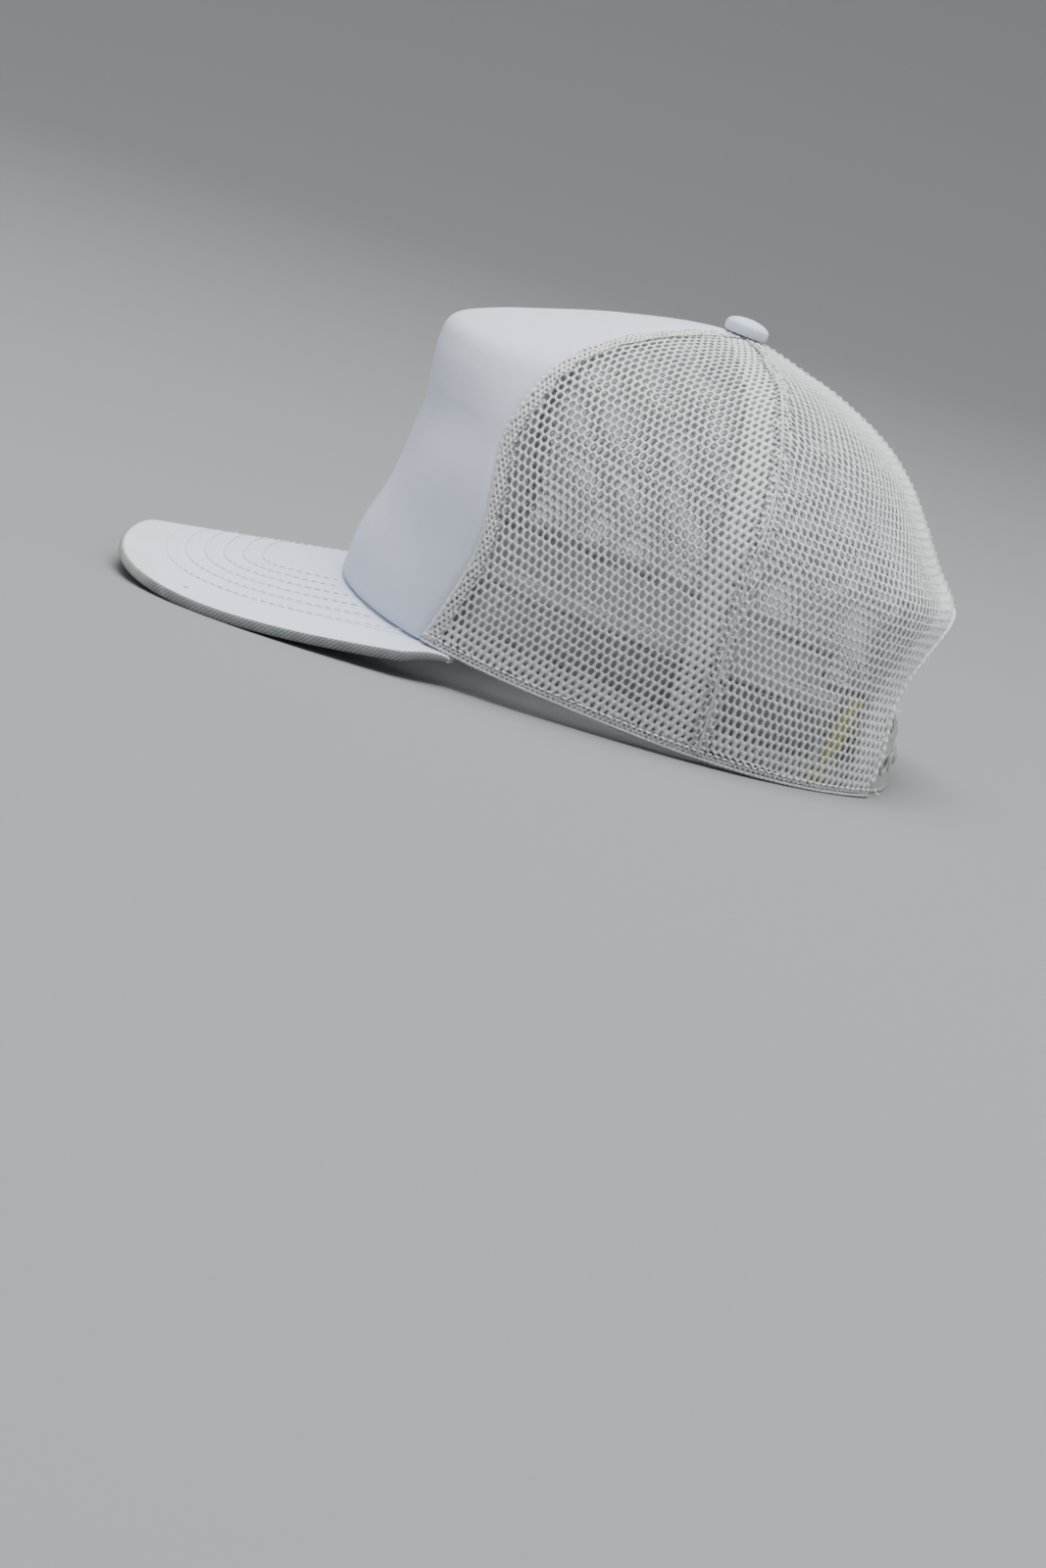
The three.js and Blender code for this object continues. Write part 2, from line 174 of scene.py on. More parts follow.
def joined(meshes):
    # several (vertices, faces) as one
    starts = np.cumsum([0] + [len(v) for v, _ in meshes[:-1]])
    faces = [f + start for (_, f), start in zip(meshes, starts)]
    return np.concatenate([v for v, _ in meshes]), np.concatenate(faces)


def outwards(vertices, faces):
    # the faces, turned round if the volume that they close comes out negative
    a, b, c = (vertices[faces[:, k]] for k in range(3))
    volume = np.einsum("ij,ij->", a, np.cross(b, c))
    if faces.shape[1] == 4:
        d = vertices[faces[:, 3]]
        volume += np.einsum("ij,ij->", a, np.cross(c, d))
    return faces if volume > 0 else faces[:, ::-1]


def unit(vectors):
    return vectors / np.maximum(np.linalg.norm(vectors, axis=-1, keepdims=True), 1e-9)


def lengthAlong(points):
    # the distance from a path's first point to each of its points, measured along it
    return np.concatenate([[0], np.cumsum(np.linalg.norm(np.diff(points, axis=0), axis=1))])


def smooth(edge0, edge1, x):
    share = np.clip((x - edge0) / (edge1 - edge0), 0, 1)
    return share * share * (3 - 2 * share)


def ripple(x, y, seed):
    # soft uneven waves between about -1 and 1: three sines of different directions and lengths
    turn = np.random.default_rng(seed).uniform(0, 6.28, 6)
    return (np.sin(x + turn[0]) * np.sin(y * 1.1 + turn[1]) + 0.6 * np.sin(1.7 * x - 0.8 * y + turn[2])
            + 0.4 * np.sin(2.6 * y + 1.9 * x + turn[3])) / 1.6


def innerFaces(made, gridShape, material):
    # another material for the inner side of a sheetMesh
    made.data.materials.append(material)
    count = (gridShape[0] - 1) * (gridShape[1] - 1)
    order = np.arange(len(made.data.polygons))
    made.data.polygons.foreach_set("material_index", ((order >= count) & (order < 2 * count)).astype(int))


def finishPiece(made, nodes=()):
    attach(made, "root")
    if nodes:
        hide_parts(*nodes)


# Materials

def newGroup(name, inputs, outputs):
    group = bpy.data.node_groups.new(name, "ShaderNodeTree")
    for label, kind, value in inputs:
        socket = group.interface.new_socket(label, in_out="INPUT", socket_type=kind)
        socket.default_value = value
    for label, kind in outputs:
        group.interface.new_socket(label, in_out="OUTPUT", socket_type=kind)
    return group, group.nodes.new("NodeGroupInput"), group.nodes.new("NodeGroupOutput")


def addNode(tree, kind, links=None, **settings):
    # a node with its settings; links gives each named or numbered input a value or another node's output
    node = tree.nodes.new("ShaderNode" + kind)
    for key, value in settings.items():
        setattr(node, key, value)
    for key, value in (links or {}).items():
        if isinstance(value, bpy.types.NodeSocket):
            tree.links.new(value, node.inputs[key])
        else:
            node.inputs[key].default_value = value
    return node


def mathNode(tree, operation, a, b=0.0, clamp=False):
    return addNode(tree, "Math", {0: a, 1: b}, operation=operation, use_clamp=clamp).outputs[0]


def makeWeaveGroup():
    # threads over and under: the product of two rows of waves along X+Y and X-Y, broken up by noise
    group, source, out = newGroup("weave", [("Scale", "NodeSocketFloat", 1500.0)],
                                  [("Height", "NodeSocketFloat"), ("Fibre", "NodeSocketFloat")])
    place = addNode(group, "TexCoord").outputs["Object"]
    first = addNode(group, "TexWave", {"Vector": place, "Scale": source.outputs["Scale"], "Distortion": 1.5,
                                       "Detail": 1.0}, bands_direction="DIAGONAL")
    mirror = addNode(group, "Mapping", {"Vector": place, "Rotation": (0.6, 0.9, 1.2)})
    second = addNode(group, "TexWave", {"Vector": mirror.outputs[0], "Scale": source.outputs["Scale"],
                                        "Distortion": 1.5, "Detail": 1.0}, bands_direction="DIAGONAL")
    fibre = addNode(group, "TexNoise", {"Vector": place, "Scale": source.outputs["Scale"], "Detail": 3.0})
    threads = mathNode(group, "MULTIPLY", first.outputs["Fac"], second.outputs["Fac"])
    group.links.new(mathNode(group, "ADD", threads, fibre.outputs["Fac"]), out.inputs["Height"])
    group.links.new(fibre.outputs["Fac"], out.inputs["Fibre"])
    return group


def makeSoilGroup():
    # faint uneven greying of handled cloth: two sizes of noise
    group, source, out = newGroup("handledCloth", [("Scale", "NodeSocketFloat", 30.0)],
                                  [("Mask", "NodeSocketFloat")])
    place = addNode(group, "TexCoord").outputs["Object"]
    broad = addNode(group, "TexNoise", {"Vector": place, "Scale": source.outputs["Scale"], "Detail": 4.0})
    fine = addNode(group, "TexNoise", {"Vector": place, "Scale": mathNode(group, "MULTIPLY",
                                       source.outputs["Scale"], 7.0), "Detail": 2.0})
    mixed = mathNode(group, "MULTIPLY", broad.outputs["Fac"], fine.outputs["Fac"])
    sharper = addNode(group, "MapRange", {"Value": mixed, "From Min": 0.15, "From Max": 0.42})
    group.links.new(sharper.outputs[0], out.inputs["Mask"])
    return group


def makeSpotGroup():
    # a soft round spot: 1 at its centre, fading to 0 at its radius, with an uneven edge
    group, source, out = newGroup("spot", [("Centre", "NodeSocketVector", (0, 0, 0)),
                                           ("Radius", "NodeSocketFloat", 0.005)],
                                  [("Mask", "NodeSocketFloat")])
    place = addNode(group, "TexCoord").outputs["Object"]
    noise = addNode(group, "TexNoise", {"Vector": place, "Scale": 260.0, "Detail": 3.0})
    away = addNode(group, "VectorMath", {0: place, 1: source.outputs["Centre"]}, operation="DISTANCE")
    share = mathNode(group, "DIVIDE", away.outputs["Value"], source.outputs["Radius"])
    uneven = mathNode(group, "ADD", share, mathNode(group, "MULTIPLY", noise.outputs["Fac"], 0.9))
    fade = addNode(group, "MapRange", {"Value": uneven, "From Min": 1.45, "From Max": 0.45})
    group.links.new(fade.outputs[0], out.inputs["Mask"])
    return group


weaveGroup = makeWeaveGroup()
soilGroup = makeSoilGroup()
spotGroup = makeSpotGroup()


def useGroup(tree, group, **values):
    node = tree.nodes.new("ShaderNodeGroup")
    node.node_tree = group
    for key, value in values.items():
        node.inputs[key].default_value = value
    return node


def mixColours(tree, share, first, second):
    node = addNode(tree, "Mix", {"Factor": share}, data_type="RGBA")
    colourSockets = [s for s in node.inputs if s.type == "RGBA"]
    for socket, value in zip(colourSockets, (first, second)):
        if isinstance(value, bpy.types.NodeSocket):
            tree.links.new(value, socket)
        else:
            socket.default_value = (*value, 1)
    return [s for s in node.outputs if s.type == "RGBA"][0]


def clothMaterial(name, colour, soiledAndShade, weave, bump, roughness, soilShare=0.35, spots=(), relief=None,
                  sheen=0.15, hollowShade=0.75, clear=0.0):
    # woven or knitted cloth: handled greying over its colour, stains and spots of painted light, threads as
    # bump.
    # relief names an attribute from 0 (deep) to 1 (high); where it is low, the colour is darkened as painted
    # shade in hollows and on shaded yarn. clear is the share of light that passes into the yarn.
    material = bpy.data.materials.new(name)
    material.use_nodes = True
    tree = material.node_tree
    shader = tree.nodes["Principled BSDF"]
    shader.inputs["Roughness"].default_value = roughness
    shader.inputs["Sheen Weight"].default_value = sheen
    shader.inputs["Sheen Roughness"].default_value = 0.5
    shader.inputs["Subsurface Weight"].default_value = clear
    shader.inputs["Subsurface Radius"].default_value = (1, 1, 1)
    shader.inputs["Subsurface Scale"].default_value = 0.0016
    soil = useGroup(tree, soilGroup, Scale=35.0)
    threads = useGroup(tree, weaveGroup, Scale=weave)
    result = mixColours(tree, mathNode(tree, "MULTIPLY", soil.outputs["Mask"], soilShare), colour, soiledAndShade)
    result = mixColours(tree, mathNode(tree, "MULTIPLY", threads.outputs["Fibre"], 0.16), result,
                        [0.72 * c for c in soiledAndShade])
    # painted shade: where the attribute is low the colour is darkened, down to 55 % of the second colour
    if relief:
        height = addNode(tree, "Attribute", attribute_name=relief).outputs["Fac"]
        paintedShade = mathNode(tree, "SUBTRACT", 1.0, height, clamp=True)
        result = mixColours(tree, mathNode(tree, "MULTIPLY", paintedShade, hollowShade), result,
                            [0.55 * c for c in soiledAndShade])
    # spots: stains, and patches of painted light
    for centre, radius, spotColour, strength in spots:
        spot = useGroup(tree, spotGroup, Centre=centre, Radius=radius)
        result = mixColours(tree, mathNode(tree, "MULTIPLY", spot.outputs["Mask"], strength), result, spotColour)
    tree.links.new(result, shader.inputs["Base Color"])
    relievo = addNode(tree, "Bump", {"Height": threads.outputs["Height"], "Distance": bump, "Strength": 0.6})
    tree.links.new(relievo.outputs[0], shader.inputs["Normal"])
    return material


# colours of the strap's plastic, greyed partly as painted shade for the dark inside seen through it, the
# share of light that passes, and its least and most roughness
plastic = {"colour": (0.56, 0.58, 0.55), "handled": (0.52, 0.53, 0.48), "clear": 0.3, "rough": (0.22, 0.45)}


def plasticMaterial():
    # milky clear plastic of the snap strap, with faint moulding waves and handling scratches
    material = bpy.data.materials.new("milkyPlastic")
    material.use_nodes = True
    tree = material.node_tree
    shader = tree.nodes["Principled BSDF"]
    shader.inputs["Transmission Weight"].default_value = plastic["clear"]
    shader.inputs["IOR"].default_value = 1.46
    soil = useGroup(tree, soilGroup, Scale=25.0)
    colour = mixColours(tree, soil.outputs["Mask"], plastic["colour"], plastic["handled"])
    tree.links.new(colour, shader.inputs["Base Color"])
    rough = addNode(tree, "MapRange", {"Value": soil.outputs["Mask"], "To Min": plastic["rough"][0],
                                       "To Max": plastic["rough"][1]})
    tree.links.new(rough.outputs[0], shader.inputs["Roughness"])
    place = addNode(tree, "TexCoord").outputs["Object"]
    waves = addNode(tree, "TexNoise", {"Vector": place, "Scale": 320.0, "Detail": 2.0})
    relievo = addNode(tree, "Bump", {"Height": waves.outputs["Fac"], "Distance": 0.0001, "Strength": 0.2})
    tree.links.new(relievo.outputs[0], shader.inputs["Normal"])
    return material


# centre in metres, radius, colour and strength of the marks on the visor
stains = [
    ((0.049, -0.123, 0.005), 0.017, (0.60, 0.56, 0.36), 0.30),
    ((0.020, -0.127, 0.010), 0.012, (0.68, 0.64, 0.44), 0.28),
    ((0.017, -0.117, 0.012), 0.009, (0.70, 0.65, 0.42), 0.30),
    ((0.0632, -0.1013, 0.0051), 0.0013, (0.22, 0.12, 0.04), 1.0),
]
# the band's front parts, which look paler through the net
bandFront = [((side * 0.071, -0.030, 0.015), 0.06, (0.78, 0.78, 0.79), 1.0) for side in (1, -1)]
# painted light: the visor's ribbed edge is painted lighter at its tip, where it faces the light
edgeTipLight = [((0.045, -0.126, 0.004), 0.030, (0.58, 0.58, 0.53), 0.7)]
materials = {
    "panel": clothMaterial("panelKnit", (0.68, 0.735, 0.86), (0.58, 0.63, 0.74), 1700, 0.00012, 0.8),
    "net": clothMaterial("netYarn", (0.88, 0.88, 0.89), (0.77, 0.78, 0.78), 2600, 0.00012, 0.36,
                         relief="height", hollowShade=0.5, clear=0.6),
    # the same yarn for the folded layers, painted lighter and with less painted shade in its hollows: painted
    # light for layers that lie in shade
    "fold": clothMaterial("foldedYarn", (0.90, 0.90, 0.91), (0.80, 0.81, 0.81), 2600, 0.00012, 0.42,
                          relief="height", hollowShade=0.3, clear=0.7),
    # grey-violet cloth, darkened partly as painted shade for the band that lies in shadow behind the net
    "band": clothMaterial("bandCloth", (0.46, 0.45, 0.51), (0.38, 0.37, 0.42), 1400, 0.0001, 0.95,
                          spots=bandFront),
    "foam": clothMaterial("panelFoam", (0.93, 0.93, 0.91), (0.84, 0.84, 0.81), 700, 0.0002, 0.95),
    "bandInside": clothMaterial("bandInsideCloth", (0.92, 0.92, 0.92), (0.82, 0.82, 0.80), 1400, 0.0001,
                                0.95),
    "bandBorder": clothMaterial("bandBorderCloth", (0.74, 0.74, 0.76), (0.6, 0.6, 0.62), 1400, 0.0001, 0.9),
    "agedTape": clothMaterial("agedTape", (0.74, 0.68, 0.16), (0.55, 0.49, 0.12), 900, 0.0001, 0.7),
    "visor": clothMaterial("visorWeave", (0.71, 0.76, 0.90), (0.65, 0.70, 0.82), 2000, 0.0001, 0.8,
                           spots=stains),
    "visorUnder": clothMaterial("visorUnderWeave", (0.78, 0.79, 0.83), (0.66, 0.67, 0.70), 2000, 0.0001,
                                0.85),
    # the edge's grey-green cloth, its colour darkened partly as painted shade on the shaded edge; its rib
    # hollows get strong painted shade
    "rim": clothMaterial("visorEdgeWeave", (0.36, 0.385, 0.38), (0.13, 0.145, 0.14), 1800, 0.0001, 0.85,
                         spots=edgeTipLight, relief="height", hollowShade=0.96),
    "thread": clothMaterial("stitchThread", (0.67, 0.71, 0.81), (0.55, 0.57, 0.62), 3000, 0.00005, 0.6),
    "brightThread": clothMaterial("seamThread", (0.90, 0.90, 0.90), (0.75, 0.75, 0.74), 3000, 0.00005, 0.5),
    "plastic": plasticMaterial(),
}
print("materials made")


# Crown: the same sections as the CAD

crown = {"hemSag": 6.8, "hemSagFades": 60, "foam": 3, "foldDepth": 1.9, "archFoldDepth": 3.1, "seamGap": 0.4}
# from that angle on, in radians from the front, the crown is near the arch
arch = {"half": 45.5, "foot": 20, "top": 57, "square": 2.2, "fold": 10, "angle": 2.2}

sectionColumns = ["up", "front", "back", "half", "widest", "frontSquare", "backSquare", "frontSeam",
                  "sideSeam"]
sections = np.array([
    [0, 98, 97.5, 79, 0, 2.9, 2.3, -62.5, 29.5],
    [14, 98, 96, 80.5, 1, 2.85, 2.3, -58.5, 27.7],
    [30, 95.4, 92, 81.5, 2, 2.8, 2.3, -56.3, 25.3],
    [46, 94.6, 91.5, 81, 3, 2.75, 2.3, -58.8, 23.6],
    [58, 93.8, 89.8, 79.5, 3, 2.7, 2.3, -61.3, 23],
    [68, 94.8, 80.8, 76.5, 3, 2.7, 2.3, -61.3, 22.4],
    [78, 95.8, 72.5, 72, 2, 2.65, 2.25, -58.8, 21],
    [86, 94, 65.5, 67, 1, 2.6, 2.2, -55.8, 19],
    [92, 83.5, 59, 62, 0, 2.5, 2.2, -51.8, 17],
    [98, 68, 50.5, 55, -2, 2.4, 2.1, -46, 14.6],
    [103.2, 53.5, 39.5, 47, -3, 2.3, 2.1, -38, 12],
    [107.4, 39.5, 27.5, 37, -4, 2.2, 2.1, -29.5, 8.5],
    [110.7, 27, 13.5, 24, -5, 2.1, 2, -21, 4],
    [112.8, 16, 4, 11, -6, 2, 2, -13, -1.5],
    [113.5, 9, -3, 3, -6, 2, 2, -8, -4.8],
])
topLevel = len(sections) - 1
hemFront, hemHalf = sections[0][1], sections[0][3]


def column(name, t):
    # the column's value at level t, on a smooth curve through the sections (Catmull-Rom)
    values = sections[:, sectionColumns.index(name)]
    level = np.clip(t, 0, topLevel)
    row = np.minimum(level.astype(int), topLevel - 1)
    f = level - row
    here = values[row]
    there = values[row + 1]
    enter = np.where(row > 0, (there - values[np.maximum(row - 1, 0)]) / 2, there - here)
    leave = np.where(row < topLevel - 1, (values[np.minimum(row + 2, topLevel)] - here) / 2, there - here)
    return ((2 * f ** 3 - 3 * f ** 2 + 1) * here + (f ** 3 - 2 * f ** 2 + f) * enter
            + (3 * f ** 2 - 2 * f ** 3) * there + (f ** 3 - f ** 2) * leave)


def hemHeight(x):
    # a parabola, lowest at the crown's sides
    return -crown["hemSag"] * (x / hemHalf) ** 2


def shell(angle, t):
    # a superellipse for each level: the radius is the sum of |cos / reach| and |sin / half|, each to the
    # power of square, to the power of -1 / square
    forward = np.cos(angle)
    sideways = np.sin(angle)
    widest = column("widest", t)
    reach = np.where(forward > 0, column("front", t) + widest, column("back", t) - widest)
    square = np.where(forward > 0, column("frontSquare", t), column("backSquare", t))
    half = column("half", t)
    radius = (np.abs(forward / reach) ** square + np.abs(sideways / half) ** square) ** (-1 / square)
    x = radius * sideways
    up = column("up", t)
    fade = np.clip(1 - up / crown["hemSagFades"], 0, 1) ** 2
    return np.stack([x, widest - radius * forward, up + hemHeight(x) * fade], -1)


def crownPoint(angle, t, inset=0.0):
    # the same point, moved inwards along the surface's normal
    angle, t, inset = np.broadcast_arrays(*(np.asarray(value, float) for value in (angle, t, inset)))
    step = 0.01
    across = shell(angle + step, t) - shell(angle - step, t)
    upward = shell(angle, np.minimum(t + step, topLevel)) - shell(angle, np.maximum(t - step, 0))
    return shell(angle, t) - unit(np.cross(across, upward)) * inset[..., None]


def angleAtY(y, t):
    # the angle at which the level's superellipse passes y, on the wearer's left
    widest = column("widest", t)
    inFront = y < widest
    reach = np.where(inFront, column("front", t) + widest, column("back", t) - widest)
    square = np.where(inFront, column("frontSquare", t), column("backSquare", t))
    share = np.minimum(np.abs(widest - y) / reach, 1)
    return np.arctan2(column("half", t) * (1 - share ** square) ** (1 / square), widest - y)


def angleAtX(x, t):
    # the angle at which it passes x, on the back half
    widest = column("widest", t)
    square = column("backSquare", t)
    share = np.minimum(np.abs(x) / column("half", t), 1)
    return np.arctan2(x, -(column("back", t) - widest) * (1 - share ** square) ** (1 / square))


fineLevels = np.linspace(0, topLevel, 2801)
fineHeights = column("up", fineLevels)


def levelAt(up):
    return np.interp(up, fineHeights, fineLevels)


def frontSeam(t, beyond=0.0):
    return angleAtY(column("frontSeam", t) + beyond, t)


def sideSeam(t, beyond=0.0):
    return angleAtY(column("sideSeam", t) + beyond, t)


def backSeam(t, beyond=0.0):
    return angleAtX(np.full_like(t, crown["seamGap"] / 2) + beyond, t)


def archEdge(along, outside=0.0):
    # the arch's outline: straight sides for a quarter of the way, then a superellipse
    half = arch["half"] + outside
    turn = np.clip((along - 0.25) / 0.75, 0, 1) * np.pi / 2
    x = half * np.clip(np.cos(turn), 0, 1) ** (2 / arch["square"])
    rise = (arch["top"] + outside - arch["foot"]) * np.sin(turn) ** (2 / arch["square"])
    return x, np.where(along < 0.25, arch["foot"] * along / 0.25, arch["foot"] + rise)


def insideArch(x, up):
    # under 1 inside the arch and over 1 outside it
    above = np.maximum(up - arch["foot"], 0) / (arch["top"] - arch["foot"])
    return (np.abs(x / arch["half"]) ** arch["square"] + above ** arch["square"]) ** (1 / arch["square"])


# Net: a panel is laid flat, so that its cells keep their size up to the seams that cut them

flatTable = {"levels": 276, "across": 121, "belowTop": 0.25}  # rows and columns, and where it ends


class FlatPanel:
    # maps flat millimetres (u across, v up from the hem) to the crown's angle and level; cut says whether
    # the arch takes a part of the panel away
    def __init__(self, start, end, cut):
        self.cut = cut
        self.levels = np.linspace(0, topLevel - flatTable["belowTop"], flatTable["levels"])
        share = np.linspace(0, 1, flatTable["across"])
        t = self.levels[:, None]
        angle = start(t) * (1 - share) + end(t) * share
        points = shell(angle, t + 0 * share)
        along = np.cumsum(np.linalg.norm(np.diff(points, axis=1), axis=2), axis=1)
        along = np.concatenate([np.zeros((len(t), 1)), along], axis=1)
        self.width = along[:, -1]
        self.angle = np.array([np.interp(share * w, a, g) for a, w, g in zip(along, self.width, angle)])
        self.rise = lengthAlong(points[:, flatTable["across"] // 2])

    def place(self, u, v):
        # the level whose middle line is v up, and the share of the way across it, by linear steps in the
        # table
        t = np.interp(v, self.rise, self.levels)
        share = 0.5 + u / np.interp(v, self.rise, self.width)
        row = np.clip(t / self.levels[1], 0, len(self.levels) - 1.001)
        col = np.clip(share, 0, 1) * (flatTable["across"] - 1.001)
        i, j = row.astype(int), col.astype(int)
        a, b = row - i, col - j
        table = self.angle
        angle = ((1 - a) * ((1 - b) * table[i, j] + b * table[i, j + 1])
                 + a * ((1 - b) * table[i + 1, j] + b * table[i + 1, j + 1]))
        return angle, t, share


# Corners and middles of the sides of a cell, in quarters of the pitch and sixths of the row, how far the
# yarn stands there on each side of the net, and how bright it is painted: the upright sides are thick glossy
# loops with a painted highlight, and the slanting sides get painted shade
cellPoints = np.array([
    [2, 0, 0.46, 1.0], [2, 2, 0.38, 0.7], [1, 3, 0.22, 0.15], [0, 4, 0.34, 0.4], [-1, 3, 0.22, 0.15],
    [-2, 2, 0.38, 0.7], [-2, 0, 0.46, 1.0], [-2, -2, 0.38, 0.7], [-1, -3, 0.22, 0.15], [0, -4, 0.34, 0.4],
    [1, -3, 0.22, 0.15], [2, -2, 0.38, 0.7],
])


# painted shade: where the yarn is painted darker because the dark band lies behind it: up to which height,
# and between which angles
bandShadeOnYarn = {"fades": (23, 21.5), "from": np.radians(73), "to": np.radians(136), "darkens": 0.55}
yarn = {
    "uneven": (0.85, 1.12), "bright": (0.8, 1.1), "drift": 0.05,  # by chance: thickness, brightness, place
    "holeUneven": (0.88, 1.08), "holeDrift": 0.06,
    "seat": 0.6,  # how deep the middle of the yarn lies, as a share of its thickness
    "tighten": 0.36, "whiten": 0.55, "mostWhite": 0.95,  # where the net lies double; whiten is painted light
    # the hole rims get painted shade: its least, and how much of the painted light of least and of the
    # doubled net reaches them
    "holeBright": 0.22, "holeLeast": 0.6, "holeWhiten": 0.8,
}


def netMesh(panel, depth, keep, cell, seed, thick=1.0, wrinkle=0.0, doubled=None):
    # A net of six-sided cells: each is a ring of faces from the yarn's crest around the cell, which
    # neighbours share, down into the hole and up to the crest on the other side
    random = np.random.default_rng(seed)
    pitch, row, turned = cell["pitch"], cell["row"], np.radians(cell["turned"])
    halfWidth = panel.width.max() / 2
    reach = abs(np.sin(turned)) * (halfWidth + panel.rise[-1])
    rows = np.arange(-int(reach / row) - 1, int((panel.rise[-1] + reach) / row) + 3)
    columns = np.arange(-int((halfWidth + reach) / pitch) - 3, int((halfWidth + reach) / pitch) + 4)
    i, j = (g.ravel() for g in np.meshgrid(columns, rows))
    iu = 4 * i + 2 * (j % 2)
    jv = 6 * j

    def laid(iu, jv):
        # flat place of a lattice point: turned with the knit's rows, and with its slow waviness
        across = iu * pitch / 4 + cell["shift"][0] + cell["slant"] * ((jv % 6 == 2) * 1.0 - (jv % 6 == 4))
        up = jv * row / 6 + cell["shift"][1]
        u = across * np.cos(turned) - up * np.sin(turned)
        v = across * np.sin(turned) + up * np.cos(turned)
        return (u + cell["waver"] * ripple(u / 7, v / 11, 3), v + cell["waver"] * ripple(u / 13, v / 6, 4))

    def onCrown(u, v, clampArch=True):
        angle, t, share = panel.place(u, np.clip(v, 0, panel.rise[-1]))
        if clampArch and panel.cut:
            # what lies inside the arch moves straight out to its edge
            point = shell(angle, t)
            inside = insideArch(point[..., 0], column("up", t))
            push = (inside < 1) & (np.abs(angle) > arch["angle"])
            shrink = np.where(push, np.maximum(inside, 0.2), 1)
            up = column("up", t)
            newUp = np.where(up > arch["foot"], arch["foot"] + (up - arch["foot"]) / shrink, up)
            newT = levelAt(newUp)
            angle = np.where(push, angleAtX(point[..., 0] / shrink, newT), angle)
            t = np.where(push, newT, t)
        return angle, t, share

    centreU, centreV = laid(iu, jv)
    angle, t, share = onCrown(centreU, centreV, clampArch=False)
    centre = shell(angle, t)
    ok = (share > -0.002) & (share < 1.002) & (centreV > -row / 3) & (centreV <= panel.rise[-1] + row / 3)
    if panel.cut:
        ok &= (insideArch(centre[:, 0], column("up", t)) > 0.985) | (np.abs(angle) < arch["angle"])
    ok &= keep(angle, t, centre)
    iu, jv = iu[ok], jv[ok]
    cells = len(iu)
    doubledShare = doubled(angle[ok], t[ok], centre[ok]) if doubled else np.zeros(cells)
    tighter = 1 - yarn["tighten"] * doubledShare[:, None]
    # painted light: least lifts the yarn's painted shade, and the hole rims' painted shade is lifted where
    # the net lies double
    least = cell.get("least", 0)
    whitened = least + yarn["holeWhiten"] * doubledShare
    holeBright = np.minimum(yarn["holeBright"] + yarn["holeLeast"] * whitened, yarn["mostWhite"])

    keyU = iu[:, None] + cellPoints[None, :, 0].astype(int)
    keyV = jv[:, None] + cellPoints[None, :, 1].astype(int)
    keys, first, inverse = np.unique(np.stack([keyU.ravel(), keyV.ravel()], -1), axis=0,
                                     return_index=True, return_inverse=True)
    inverse = inverse.reshape(cells, 12)
    kind = cellPoints[first % 12]
    half = kind[:, 2] * thick * random.uniform(*yarn["uneven"], len(keys))
    u, v = laid(keys[:, 0], keys[:, 1])
    u = u + random.normal(0, yarn["drift"], len(keys))
    v = v + random.normal(0, yarn["drift"], len(keys))

    def lie(u, v):
        # depth of the yarn's middle, with the net's wrinkles
        return depth + yarn["seat"] * thick + wrinkle * ripple(u * 2.1, v * 1.4, seed + 5)

    yarnAngle, yarnLevel, _ = onCrown(u, v)
    crest = crownPoint(yarnAngle, yarnLevel, lie(u, v) - half)
    back = crownPoint(yarnAngle, yarnLevel, lie(u, v) + half)

    turn = np.arctan2(cellPoints[:, 1] * row / 6, cellPoints[:, 0] * pitch / 4)
    wide = cell["hole"][0] * tighter * random.uniform(*yarn["holeUneven"], cells)[:, None]
    high = cell["hole"][1] * tighter * random.uniform(*yarn["holeUneven"], cells)[:, None]
    holeU, holeV = laid(iu, jv)
    shift = random.normal(0, yarn["holeDrift"], (2, cells, 1))
    holeU = holeU[:, None] + shift[0] + wide * np.cos(turn + turned)
    holeV = holeV[:, None] + shift[1] + high * np.sin(turn + turned)
    angle, t, _ = onCrown(holeU, holeV)
    hole = crownPoint(angle, t, lie(holeU, holeV))

    n = len(keys)
    holeIndex = 2 * n + np.arange(cells * 12).reshape(cells, 12)
    after = np.roll(np.arange(12), -1)
    front = np.stack([inverse, inverse[:, after], holeIndex[:, after], holeIndex], -1).reshape(-1, 4)
    rear = np.stack([n + inverse, holeIndex, holeIndex[:, after], n + inverse[:, after]], -1).reshape(-1, 4)
    vertices = np.concatenate([crest, back, hole.reshape(-1, 3)])
    # painted shade on the yarn where the dark band lies behind it
    bandShade = (smooth(*bandShadeOnYarn["fades"], column("up", yarnLevel)) * (np.abs(yarnAngle) > bandShadeOnYarn["from"])
                * (np.abs(yarnAngle) < bandShadeOnYarn["to"]))
    # painted light: the yarn is painted lighter where the net lies double
    if doubled:
        least = least + yarn["whiten"] * doubled(yarnAngle, yarnLevel, shell(yarnAngle, yarnLevel))
    least = np.minimum(least, yarn["mostWhite"])
    # the yarn's painted brightness: painted highlights on the upright loops, painted shade on the slanting
    # sides, lifted by the painted light of least, darkened by the painted shade over the band, times a random
    # tone
    bright = ((least + (1 - least) * kind[:, 3]) * random.uniform(*yarn["bright"], n)
              * (1 - bandShadeOnYarn["darkens"] * bandShade))
    height = np.concatenate([bright, bright, np.repeat(holeBright, 12)])
    return vertices, np.concatenate([front, rear]), height


def mirrored(vertices, faces):
    return vertices * [-1, 1, 1], faces[:, ::-1]


def netPiece(name, parts, material, nodes, side):
    # the parts as one piece, mirrored for the wearer's right
    vertices, faces = joined([(v, f) for v, f, _ in parts])
    # height carries the yarn's painted highlights and painted shade
    height = np.concatenate([h for _, _, h in parts])
    if side < 0:
        vertices, faces = mirrored(vertices, faces)
    finishPiece(meshPiece(name, vertices, faces, material, attributes={"height": height}), nodes)


